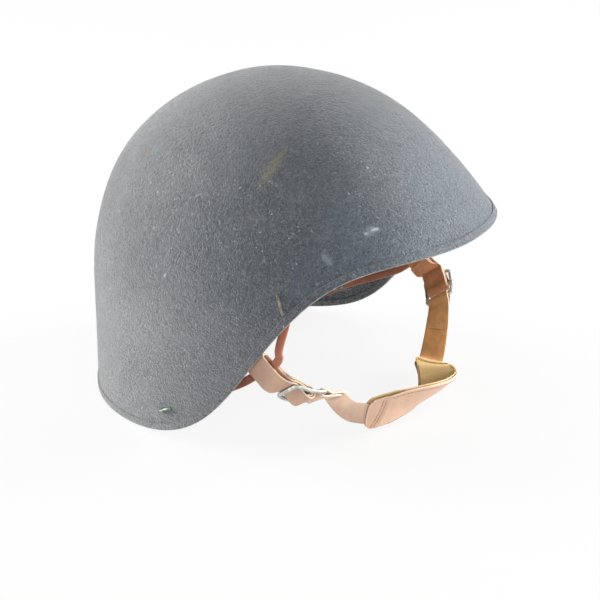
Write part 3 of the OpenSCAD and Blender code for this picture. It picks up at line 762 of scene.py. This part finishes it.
def make_thong(name, side):
    """The thong from its front end under the staple, through the strap's fold, to its rear end."""
    turn = FOLD_CENTRE - FOLD_RUN * TURN_RUN
    route = [stapled(True, k) for k in (1, 0.5, 0)]
    route += [(FRONT_EXIT, skin_normal(*STAPLES[True]))]
    route += [(turn + [0, 0, rise], FOLD_FACE) for rise in (TURN_RISE, TURN_BEND)]
    route += [(FOLD_CENTRE + FOLD_RUN * STRAP_W * k, FOLD_FACE) for k in (-0.5, -0.25, 0, 0.5)]
    route += [(REAR_EXIT, FOLD_FACE)]
    route += [stapled(False, k, over) for k, over in REAR_LEAD + [(0, 0), (1, 0)]]
    points = smooth_curve([r[0] for r in route], THONG_STEPS)
    normals = smooth_curve([r[1] for r in route], THONG_STEPS)
    shape = outline_of(THONG_W, THONG_T, THONG_COLUMNS)
    made, edge, inner = [], [], []
    for p, t, normal in zip(points, ways(points), normals):
        face = unit(reject(normal, t))
        across = np.cross(face, t)
        free = np.linalg.norm(p - FOLD_CENTRE) >= STRAP_W
        waver = free * THONG_WAVER * wave(p, 13, side + 4.0)
        wide = 1 + free * THONG_SWELL * wave(p, 20, side)
        for x, out, rim in shape:
            high = out * (1 - THONG_CROWN * abs(x) / THONG_W) + waver
            made.append(on_side(side, p + across * x * wide + face * high))
            edge.append(THONG_RAW * rim)
            inner.append(1.0 if out < 0 else 0.0)
    piece(name + "_thong_leather", made, ring_faces(len(points), len(shape)), HELMET, thong_look,
          [name + "_thong"], {"edge": edge, "inner": inner})


# Buckles
TOP_BAR = spot(HALF_WIDTH - BUCKLE_IN, BUCKLE_AHEAD, -BUCKLE_DROP)
BUCKLE_WAY = unit([-0.79, -0.48, -0.38])
BUCKLE_ACROSS = unit(reject(unit([0.19, -0.78, 0.59]), BUCKLE_WAY))
BUCKLE_FACE = np.cross(BUCKLE_ACROSS, BUCKLE_WAY)
RAIL_X = STRAP_W / 2 + RAIL_PLAY + BAR_D / 2
CORNER_STEPS = 8
RAIL_STEPS = 10
BAR_POINTS = 9
BAR_SIDES = 14
JOINT_REACH = 2.4
JOINT_SWELL = 0.16


def from_buckle(s, across, out):
    return TOP_BAR + BUCKLE_WAY * s + BUCKLE_ACROSS * across + BUCKLE_FACE * out


def bow(s):
    return BUCKLE_BOW * (1 - (s / BAR_PITCH - 1) ** 2)


def make_buckle(name, side):
    """A bowed frame and its middle bar, which is joined to the rails in small swellings."""
    def at(s, across, out):
        return on_side(side, from_buckle(s, across, out))

    x = RAIL_X - CORNER_R
    y = 2 * BAR_PITCH - CORNER_R
    outline = []
    for cx, cy, start in ((x, y, 0), (-x, y, 90), (-x, CORNER_R, 180), (x, CORNER_R, 270)):
        for k in range(CORNER_STEPS + 1):
            a = math.radians(start + 90 * k / CORNER_STEPS)
            outline.append((cx + CORNER_R * math.cos(a), cy + CORNER_R * math.sin(a)))
    path = []
    for i, p in enumerate(outline):
        q = outline[(i + 1) % len(outline)]
        steps = RAIL_STEPS if math.dist(p, q) > CORNER_R else 1
        for k in range(steps):
            s, across = mix(p[1], q[1], k / steps), mix(p[0], q[0], k / steps)
            path.append(at(s, across, bow(s)))
    reach = np.linspace(-1, 1, BAR_POINTS)
    bar = [at(BAR_PITCH, RAIL_X * k, BUCKLE_BOW) for k in reach]
    parts = [tube(path, BAR_D / 2, BAR_SIDES, True), tube(bar, BAR_D / 2, BAR_SIDES)]
    swell = [BAR_D / 2 * (1 + JOINT_SWELL * math.cos(math.pi / 2 * k) ** 2) for k in reach]
    for rail in (-RAIL_X, RAIL_X):
        joint = [at(BAR_PITCH + JOINT_REACH * k, rail, BUCKLE_BOW) for k in reach]
        parts.append(tube(joint, swell, BAR_SIDES))
    points, faces = joined(parts)
    piece(name + "_buckle_frame", points, faces, HARNESS, nickel, [name + "_buckle"])


# Adjusting straps, whose plies wave between the fold and the buckle. The waves grow from so many
# millimetres past the fold, over so many, and end so before the buckle
PLY_STEP = LEATHER_T + PLY_GAP
SEWN_R = BAR_D / 2 + PLY_GAP + LEATHER_T / 2
WRAP_R = SEWN_R + PLY_STEP
FOLD_WAY = unit(reject(reject(TOP_BAR - FOLD_CENTRE, FOLD_LINE), FOLD_FACE))
FOLD_END = FOLD_CENTRE + FOLD_WAY * FOLD_HOLD
STRAP_RUN = FOLD_HOLD + np.linalg.norm(TOP_BAR - FOLD_END)
MID_BAR = STRAP_RUN + BAR_PITCH
FOLD_Y = THONG_T / 2 + FOLD_PLAY + LEATHER_T / 2
FOLD_TURN = FOLD_Y - LEATHER_T / 2 - THONG_W / 2 - FOLD_ROOM - FOLD_SLACK
STRAP_STEPS = 34
BEND_STEPS = 16
STRAP_COLUMNS = 12
INNER_WAVE = 0.7
OUTER_WAVE = 0.12
WAVE_SIZE = 9
WAVES_FROM = (2, 6)
WAVES_TO = (3, 5)


def arc_span(p, q, u, v, t):
    """Point at share t of a smooth way from p to q, which leaves along u and arrives along v."""
    k = np.linalg.norm(q - p) / 3
    return ((1 - t) ** 3 * p + 3 * (1 - t) ** 2 * t * (p + u * k)
            + 3 * (1 - t) * t * t * (q - v * k) + t ** 3 * q)


def strap_share(s):
    return (s - FOLD_HOLD) / (STRAP_RUN - FOLD_HOLD)


def on_strap(s, y, x):
    if s <= FOLD_HOLD:
        middle = FOLD_CENTRE + FOLD_WAY * s
    elif s < STRAP_RUN:
        middle = arc_span(FOLD_END, TOP_BAR, FOLD_WAY, BUCKLE_WAY, strap_share(s))
    else:
        middle = TOP_BAR + BUCKLE_WAY * (s - STRAP_RUN)
    t = ease(strap_share(s))
    along = unit(mix(FOLD_WAY, BUCKLE_WAY, t))
    across = unit(reject(mix(-FOLD_LINE, BUCKLE_ACROSS, t), along))
    return middle + across * x + np.cross(across, along) * y


def ply(s, high, low, past):
    if s < STRAP_RUN:
        return mix(high, low, ease(strap_share(s)))
    return mix(low, past, ease((s - STRAP_RUN) / BAR_PITCH))


def outer_ply(s):
    return ply(s, FOLD_Y, -SEWN_R, BUCKLE_BOW + WRAP_R)


def inner_ply(s):
    return ply(s, -FOLD_Y, -SEWN_R - PLY_STEP, BUCKLE_BOW - SEWN_R)


def bend(cx, cy, r, start):
    """Half a turn in the side view, anticlockwise from an angle in degrees."""
    return [(cx + r * math.cos(a), cy + r * math.sin(a))
            for a in np.radians(start + 180 * np.arange(BEND_STEPS + 1) / BEND_STEPS)]


def make_strap(name, side):
    """Tail, wrap round the middle bar, outer ply, fold, inner ply and the sewn loop, in one run."""
    def stretch(start, end, height):
        return [(s, height(s)) for s in np.linspace(start, end, STRAP_STEPS, endpoint=False)]

    view = stretch(TAIL_START, MID_BAR, lambda s: inner_ply(s) - PLY_STEP)
    view += bend(MID_BAR, BUCKLE_BOW, WRAP_R, -90)
    view += [(s, outer_ply(s)) for s in np.linspace(MID_BAR, 0, STRAP_STEPS + 1)[1:]]
    view += bend(FOLD_TURN, 0, FOLD_Y, 90)
    view += stretch(0, MID_BAR, inner_ply)
    view += bend(MID_BAR, BUCKLE_BOW, SEWN_R, -90)
    view += [(MID_BAR - SEWN_R, BUCKLE_BOW + SEWN_R)]

    def ripple(s, y, x):
        loose = (ease((s - FOLD_HOLD - WAVES_FROM[0]) / WAVES_FROM[1])
                 * ease((STRAP_RUN - WAVES_TO[0] - s) / WAVES_TO[1]))
        high = INNER_WAVE if y < 0 else OUTER_WAVE
        return high * loose * wave((s * 1.1, 0.5 * x, 0), WAVE_SIZE, side + 2.5)

    points, faces, marks = ribbon(view, lambda s, y, x: on_side(side, on_strap(s, y, x)),
                                  STRAP_W, LEATHER_T, STRAP_COLUMNS, ripple)
    piece(name + "_strap_leather", points, faces, HARNESS, strap_look, [name + "_strap"],
          marks)


# Chin cup. Its sewn rows lie so far from its ends, slant and bow across it, and draw the leather
# in, with a pucker beside them. Its edges are drawn in too, and its faces wave
CUP_TIP = CUP_HALF * (1 + CUP_CUT)
CUP_STATIONS = 132
CUP_STRIPS = 30
SEAM_ROWS = (5.6, 7.4)
SEAM_SLANT = 3.2
SEAM_BOW = 1.2
SEAM_DEPTH = 0.22
SEAM_WIDTH = 0.7
PUCKER = 0.35
PUCKER_AT = 2.2
PUCKER_WIDTH = 1.4
EDGE_DRAWN = 0.2
EDGE_FROM = 0.86
FACE_WAVE = 0.3
EDGE_WAVE = 0.16
EDGE_WAVE_AT = 0.9
EDGE_WAVE_WIDTH = 0.2
LINING_RELIEF = 0.4
END_BOW = 0.9
CORNER_CUT = 2.6
CORNER_FROM = 0.7
RAW_FROM = 0.965
EDGE_TURN = 0.32


def cup_mid(out):
    share = (abs(out) / CUP_HALF) ** CUP_TURN
    return spot(out, CUP_AHEAD - CUP_DEPTH * share, -CUP_DROP - CUP_SAG * share)


def cup_frame(out):
    """Middle point, and the directions along, across and out of the cup."""
    tilt = math.radians(CUP_LEAN + CUP_ROLL * out / CUP_HALF)
    along = unit(cup_mid(out + STEP) - cup_mid(out - STEP))
    across = unit(reject(np.array([0, -math.sin(tilt), math.cos(tilt)]), along))
    return cup_mid(out), along, across, np.cross(along, across)


def cup_r(out):
    return CUP_END_R + (CUP_MID_R - CUP_END_R) * (1 - (abs(out) / CUP_HALF) ** 2)


def cup_gap(out):
    """Half the room between the cup's sheets, which take in a tab near each end."""
    tucked = ease((abs(out) - CUP_HALF + TAB_TUCK + TUCK_ROOM + TUCK_RAMP) / TUCK_RAMP)
    return SHEET_GAP / 2 + PLY_STEP / 2 * tucked


def cup_point(out, q, depth):
    o = out * (1 - CUP_CUT * q)
    middle, _, across, face = cup_frame(o)
    belly = CUP_BELLY * (1 - q * q) * (1 - ease(abs(o) / CUP_HALF / BELLY_END))
    return middle + across * q * cup_r(o) + face * (depth + belly)


CUP_PACE = np.linalg.norm(cup_mid(CUP_TIP) - cup_mid(CUP_TIP - 1))


def seam(q, row_at):
    """Distance along the cup from its end to the sewn line there."""
    return row_at + SEAM_SLANT * q - SEAM_BOW * q * q


def hump(x, width):
    return math.exp(-(x / width) ** 2)


def cup_relief(out, q, side):
    """How the sewing draws a sheet in, and its puckers and waves: more in the leather, side 1."""
    reach = CUP_HALF - abs(out)
    rows = [reach - seam(q, at) for at in SEAM_ROWS]
    depth = PUCKER * hump(rows[1] - PUCKER_AT, PUCKER_WIDTH)
    depth -= SEAM_DEPTH * sum(hump(x, SEAM_WIDTH) for x in rows)
    depth -= EDGE_DRAWN * ease((abs(q) - EDGE_FROM) / (1 - EDGE_FROM))
    depth += FACE_WAVE * wave((out * 1.2, q * 16, 0), 15, 6.6) * (1 - q * q)
    near_edge = hump(abs(q) - EDGE_WAVE_AT, EDGE_WAVE_WIDTH)
    depth += EDGE_WAVE * wave((out * 0.6, q * 8, 3), 3.4, 2.2) * near_edge
    return depth * (1 if side > 0 else LINING_RELIEF)


def cup_reach(q):
    """Half length of the cup at a height across it, with its corners rounded off."""
    corner = max(0, (abs(q) - CORNER_FROM) / (1 - CORNER_FROM))
    return CUP_HALF + END_BOW * (1 - q * q) - CORNER_CUT * corner ** 2


def make_cup_sheet(name, side, inner, outer, material, node):
    thick = outer - inner
    shares = np.linspace(-1, 1, CUP_STRIPS + 1)
    points, edge, flesh = [], [], []
    for i in range(CUP_STATIONS + 1):
        for high in (False, True):
            for q in -shares if high else shares:
                out = (2 * i / CUP_STATIONS - 1) * cup_reach(q)
                rim = ease((abs(q) - RAW_FROM) / (1 - RAW_FROM))
                turned = EDGE_TURN * thick * rim
                depth = outer - turned if high else inner + turned
                depth += side * cup_gap(out) + cup_relief(out, q, side)
                points.append(cup_point(out, q, depth))
                edge.append(rim if 0 < i < CUP_STATIONS else 1)
                flesh.append(0.0 if high == (side > 0) else 1.0)
    piece(name, points, ring_faces(CUP_STATIONS + 1, 2 * CUP_STRIPS + 2), HARNESS, material, [node],
          {"edge": edge, "inner": flesh}, 50)


# Tabs. The sewn-back short ply is longer than in part.scad, and trimmed from so far along, over
# so much. Heights in the side view tell the plies apart. The near tab is worn narrow and widens
# again, and it lifts and rolls between buckle and cup
LOW_BAR = from_buckle(2 * BAR_PITCH, 0, 0)
TAB_STEPS = 76
SHORT_PLY = 24
SHORT_ABOVE = 0.1
LONG_BELOW = -0.2
PLY_TRIM = 0.28
PLY_TRIM_FROM = 4
PLY_TRIM_OVER = 12
TAB_TAPER = 0.32
TAB_TAPER_END = 0.3
TAB_WIDENS = 0.6
TAB_RISE = 5.6
TAB_RISE_POWER = 1.5
TAB_ROLL = math.radians(14)
TAB_EARLY = 0.7
TAB_SEAM_IN = 1.5
SEAM_SIDE_IN = 2.2
TAB_SEAM_POINTS = 8


def on_cup(side, s, x, y):
    """Point s along a tab from the cup's end, x across it and y out of its face."""
    turn = math.radians(TAB_ANGLE)
    o = side * (CUP_TIP - (s * math.cos(turn) + x * math.sin(turn)) / CUP_PACE)
    middle, _, across, face = cup_frame(o)
    return middle + across * (TAB_LIFT + x * math.cos(turn) - s * math.sin(turn)) + face * y


class Tab:
    """The way of a tab from the buckle's low bar into the cup."""

    def __init__(self, side):
        self.side = side
        self.start = on_side(side, LOW_BAR)
        self.way = on_side(side, BUCKLE_WAY)
        self.across = on_side(side, BUCKLE_ACROSS)
        self.end = on_cup(side, -TAB_ENTRY, 0, 0)
        self.end_way = unit(on_cup(side, STEP - TAB_ENTRY, 0, 0) - self.end)
        self.end_across = unit(on_cup(side, -TAB_ENTRY, STEP, 0) - self.end)
        self.run = np.linalg.norm(self.end - self.start)

    def middle(self, s):
        if s <= 0:
            return self.start + self.way * s
        return arc_span(self.start, self.end, self.way, self.end_way, s / self.run)

    def place(self, s, y, x):
        x *= self.side
        t = s / self.run
        if y > SHORT_ABOVE and s < SHORT_PLY + 1:
            x *= 1 - PLY_TRIM * ease((s - PLY_TRIM_FROM) / PLY_TRIM_OVER)
        if self.side == RIGHT:
            x *= 1 - TAB_TAPER * ease(t / TAB_TAPER_END) * (1 - TAB_WIDENS * ease(t))
        if s >= self.run:
            return on_cup(self.side, s - self.run - TAB_ENTRY, x, y)
        middle = self.middle(s)
        along = unit(self.middle(s + STEP) - self.middle(s - STEP))
        across = unit(reject(mix(self.across, self.end_across, ease(t)), along))
        face = self.side * np.cross(across, along)
        if self.side == RIGHT and s > 0:
            middle = middle + [0, 0, TAB_RISE * math.sin(math.pi * t) ** TAB_RISE_POWER]
            roll = TAB_ROLL * math.sin(math.pi * t ** TAB_EARLY) ** 2
            across, face = (across * math.cos(roll) + face * math.sin(roll),
                            face * math.cos(roll) - across * math.sin(roll))
        return middle + across * x + face * y

    def open(self, s):
        return mix(SEWN_R, PLY_STEP / 2, ease(s / (3 * SEWN_R)))

    def long(self, s):
        closed = ease((s - SHORT_PLY) / (self.run - SHORT_PLY - TUCK_ROOM))
        return -self.open(s) * (1 - closed)


def tab_flesh(s, y, n, out):
    """The long ply has its flesh below, and the short ply shows its grain on both faces."""
    return 1.0 if (y < LONG_BELOW or s > SHORT_PLY + 2) and out * n[1] < 0 else 0.0


def make_tab(name, side):
    """The tab, from its sewn-back ply round the low bar and into the cup. Gives its sewn rows."""
    tab = Tab(side)
    view = [(s, tab.open(s)) for s in np.linspace(SHORT_PLY, 0, BEND_STEPS, endpoint=False)]
    view += bend(0, 0, SEWN_R, 90)
    end = tab.run + TAB_ENTRY + TAB_TUCK
    view += [(s, tab.long(s)) for s in np.linspace(0, end, TAB_STEPS + 1)[1:]]
    points, faces, marks = ribbon(view, tab.place, STRAP_W, LEATHER_T, STRAP_COLUMNS,
                                  flesh=tab_flesh)
    piece(name + "_tab_leather", points, faces, HARNESS, tab_look, [name + "_tab"],
          marks)
    at = SHORT_PLY - TAB_SEAM_IN
    half = STRAP_W / 2 - SEAM_SIDE_IN
    return [[tab.place(at, y, x) for x in np.linspace(-half, half, TAB_SEAM_POINTS)]
            for y in (tab.open(at) + LEATHER_T / 2, tab.long(at) - LEATHER_T / 2)]


# Stitches: the gap between two and the thickness of their ends, as shares of pitch and thread,
# then the threads, and where the rows on the cup run
STITCH_GAP = 0.1
STITCH_END = 0.35
STITCH_POINTS = 7
CUP_THREAD_R = 0.32
TAB_THREAD_R = 0.36
SEAM_PROUD = 0.05
SEAM_SPAN = 0.86
SEAM_POINTS = 13
EDGE_ROW = 0.88
EDGE_ROW_IN = 12
EDGE_ROW_POINTS = 36


def stitches(name, rows, radius):
    """Short humps of thread between neighbouring points of each row."""
    swell = [radius * mix(math.sin(math.pi * t) ** 0.5, 1, STITCH_END)
             for t in np.linspace(0.02, 0.98, STITCH_POINTS)]
    shares = np.linspace(STITCH_GAP, 1 - STITCH_GAP, STITCH_POINTS)
    parts = []
    for line in rows:
        line = np.asarray(line, float)
        for a, b in zip(line[:-1], line[1:]):
            parts.append(tube([mix(a, b, t) for t in shares], swell, 8))
    points, faces = joined(parts)
    piece(name, points, faces, HARNESS, thread_look)


def cup_stitch_rows():
    """Rows across the cup's ends and along its edges, on the leather, side 1, and the lining."""
    def sewn(out, q, side, proud=0):
        top = cup_gap(out) + CUP_T if side > 0 else -cup_gap(out) - LINING_T
        return cup_point(out, q, top + cup_relief(out, q, side) + side * proud)

    rows = []
    for end in (RIGHT, LEFT):
        for at in SEAM_ROWS:
            for side in (1, -1):
                rows.append([sewn(end * (CUP_HALF - seam(q, at)), q, side, SEAM_PROUD)
                             for q in np.linspace(-SEAM_SPAN, SEAM_SPAN, SEAM_POINTS)])
    half = CUP_HALF - EDGE_ROW_IN
    for q in (-EDGE_ROW, EDGE_ROW):
        for side in (1, -1):
            rows.append([sewn(out, q, side) for out in np.linspace(-half, half, EDGE_ROW_POINTS)])
    return rows


# Pads, whose free faces wave and are sunk, so that they stay inside their CAD solids
PAD_DEPTH = SHELL_T + GLUE_GAP
PAD_STATIONS = 56
PAD_STRIPS = 22
CROWN_TURNS = 96
CROWN_ROWS = 14
PAD_WAVE = 0.6
WALL_SINK = 0.6
CROWN_SINK = 0.7


def pad_edge(x):
    """How thick a pad is from its middle, 0, to its edge, 1."""
    return PAD_SIDE + (1 - PAD_SIDE) * math.sqrt(max(0, 1 - min(abs(x), 1) ** PAD_CROWN))


def sponge(name, points, faces, node):
    made = piece(name, points, faces, HELMET, foam_look, [node], sharp=60)


def make_wall_pad(name, middle, span, thick):
    shares = np.linspace(0, 1, PAD_STRIPS + 1)
    points = []
    for i in range(PAD_STATIONS + 1):
        u = 2 * i / PAD_STATIONS - 1
        a = middle + u * span
        for v in shares:
            level = mix(PAD_LOW, PAD_HIGH, v)
            depth = PAD_DEPTH + thick * pad_edge(u) * pad_edge(2 * v - 1)
            sunk = WALL_SINK + PAD_WAVE * wave(under(a, level, depth), 14, middle / 50)
            points.append(under(a, level, depth - sunk))
        for v in shares[::-1]:
            points.append(under(a, mix(PAD_LOW, PAD_HIGH, v), PAD_DEPTH))
    sponge(name + "_sponge", points, ring_faces(PAD_STATIONS + 1, 2 * PAD_STRIPS + 2), name)


def make_crown_pad():
    angles = all_round(CROWN_TURNS)
    long = np.cos(np.radians(angles)) / CROWN_PAD_LONG
    wide = np.sin(np.radians(angles)) / CROWN_PAD_WIDE

    def ring(k, drop, free):
        r = k / np.hypot(long, wide)
        up = CROWN_H * np.sqrt(1 - (r / plan_r(angles)) ** 2)
        points = under(angles, up, PAD_DEPTH) - [0, 0, drop]
        if free:
            points[:, 2] += [CROWN_SINK + PAD_WAVE * wave(p, 15, 7.7) for p in points]
        return points

    shares = np.arange(1, CROWN_ROWS + 1) / CROWN_ROWS
    lower = [ring(k, CROWN_PAD_T * pad_edge(k), True) for k in shares]
    upper = [ring(k, 0, False) for k in shares[::-1]]
    points = np.concatenate(lower + upper + [[[0, 0, CROWN_SINK]], [[0, 0, CROWN_PAD_T]]])
    faces = ring_faces(2 * CROWN_ROWS, CROWN_TURNS)[:-2]
    end = 2 * CROWN_ROWS * CROWN_TURNS
    faces += fan(end, 0, CROWN_TURNS) + fan(end + 1, end - CROWN_TURNS, CROWN_TURNS)
    sponge("crown_sponge", points, faces, "crown_pad")


make_shell()
make_band()
tab_rows = []
for name, side in SIDES.items():
    make_thong(name, side)
    make_buckle(name, side)
    make_strap(name, side)
    tab_rows += make_tab(name, side)
make_cup_sheet("chin_cup_leather", 1, 0, CUP_T, cup_look, "chin_cup")
make_cup_sheet("chin_cup_suede", -1, -LINING_T, 0, lining_look, "chin_cup_lining")
stitches("cup_stitching", cup_stitch_rows(), CUP_THREAD_R)
stitches("tab_stitching", tab_rows, TAB_THREAD_R)
make_crown_pad()
for name, middle in (("brow_pad", 0), ("nape_pad", 180)):
    make_wall_pad(name, middle, BROW_PAD_SPAN, BROW_PAD_T)
for name, middle in (("right_temple_pad", -90), ("left_temple_pad", 90)):
    make_wall_pad(name, middle, TEMPLE_PAD_SPAN, TEMPLE_PAD_T)

# The staples keep their CAD shape and take a wire's finish
for name, material in (("front_staples", front_wire), ("rear_staples", rear_wire)):
    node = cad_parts[name]
    if not node.material_slots:
        node.data.materials.append(material)
    for held in node.material_slots:
        held.material = material


# Stage: a pale floor that keeps the shadow, and a plain world, both white to the camera
FLOOR_REACH = 9
FLOOR_GREY = 0.82
FLOOR_WHITE = 0.87
FILL = 0.55
WHITE = (1, 1, 1, 1)
RAYS = ("Is Camera Ray", "Is Glossy Ray", "Is Transmission Ray")


def emptied(owner):
    """The nodes of a material or world, before any is added."""
    owner.use_nodes = True
    owner.node_tree.nodes.clear()
    return Nodes(owner.node_tree)


def show_white(tree, output, lit, white, rays, share):
    """Gives a tree its output: the lit shader, with a share of the white one for these rays."""
    path = tree.add("LightPath")
    seen = path.outputs[rays[0]]
    for ray in rays[1:]:
        seen = tree.math("MAXIMUM", seen, path.outputs[ray])
    links = {0: tree.times(seen, share), 1: lit.outputs[0], 2: white.outputs[0]}
    tree.add(output, {"Surface": tree.add("MixShader", links).outputs[0]})


def make_floor():
    low = cad_box[0].z
    r = FLOOR_REACH
    mesh = bpy.data.meshes.new("floor")
    mesh.from_pydata([(-r, -r, low), (r, -r, low), (r, r, low), (-r, r, low)], [], [(0, 1, 2, 3)])
    floor = placed("floor", mesh)
    material = bpy.data.materials.new("floor_white")
    tree = emptied(material)
    cloth = tree.add("BsdfDiffuse", {"Color": (FLOOR_GREY, FLOOR_GREY, FLOOR_GREY, 1)})
    glow = tree.add("Emission", {"Color": WHITE, "Strength": 1.0})
    show_white(tree, "OutputMaterial", cloth, glow, RAYS[:2], FLOOR_WHITE)
    mesh.materials.append(material)


def make_world():
    world = bpy.data.worlds.new("studio")
    bpy.context.scene.world = world
    tree = emptied(world)
    dim = tree.add("Background", {"Color": WHITE, "Strength": FILL})
    white = tree.add("Background", {"Color": WHITE, "Strength": 1.0})
    show_white(tree, "OutputWorld", dim, white, RAYS, 1.0)


# Camera where the photograph was taken from, solved from the shell's outline: turn and rise
# about the shell's middle at height 0, distance in metres, focal length and aim in pixels
CAMERA_TURN = math.radians(29.909)
CAMERA_RISE = math.radians(22.23)
CAMERA_FAR = 1.3
FOCAL_PX = 1793.87
AIM_X = 16.99
AIM_Y = -27.3
PICTURE_PX = 600
SENSOR = 36

right = Vector((math.sin(CAMERA_TURN), -math.cos(CAMERA_TURN), 0))
back = Vector((-math.cos(CAMERA_RISE) * math.cos(CAMERA_TURN),
               -math.cos(CAMERA_RISE) * math.sin(CAMERA_TURN), math.sin(CAMERA_RISE)))
up = back.cross(right)
place = back * CAMERA_FAR - Vector((0, 0, SEAT_H * MM))
aim = (-back + right * (AIM_X / FOCAL_PX) + up * (AIM_Y / FOCAL_PX)).normalized()
side_way = (right - aim * right.dot(aim)).normalized()
top_way = side_way.cross(aim)
camera = placed("camera", bpy.data.cameras.new("camera"))
bpy.context.scene.camera = camera
camera.data.sensor_width = SENSOR
camera.data.lens = FOCAL_PX / PICTURE_PX * SENSOR
camera.data.clip_start = 0.05
camera.data.clip_end = 30
turned = Matrix((side_way, top_way, -aim)).transposed()
camera.matrix_world = Matrix.Translation(place) @ turned.to_4x4()

# Soft boxes round a point of the object: way there along the picture's side, along the aim and
# up, distance and width in metres, and the share of white that each gives a pale face
TARGET = Vector((0, -0.02, -0.1))
SOFT_BOXES = {
    "box_front": ((0.9, 0.25, 0.3), 1.8, 0.9, 1.4),
    "box_rear": ((-0.95, 0.25, 0.2), 1.7, 1.0, 1.65),
    "box_top": ((0, 0.8, 0.9), 1.9, 1.2, 0.1),
    "box_low": ((0.15, -0.8, -0.2), 1.5, 0.8, 0.3)}


def soft_box(name, way, far, size, share):
    way = way.normalized()
    lamp = bpy.data.lights.new(name, "AREA")
    lamp.shape = "SQUARE"
    lamp.size = size
    lamp.energy = share * math.pi ** 2 * far ** 2
    made = placed(name, lamp)
    made.location = TARGET + way * far
    made.rotation_euler = way.to_track_quat("Z", "Y").to_euler()


for name, ((across, along, rise), *box) in SOFT_BOXES.items():
    soft_box(name, side_way * across + aim * along + Vector((0, 0, rise)), *box)
make_world()
make_floor()
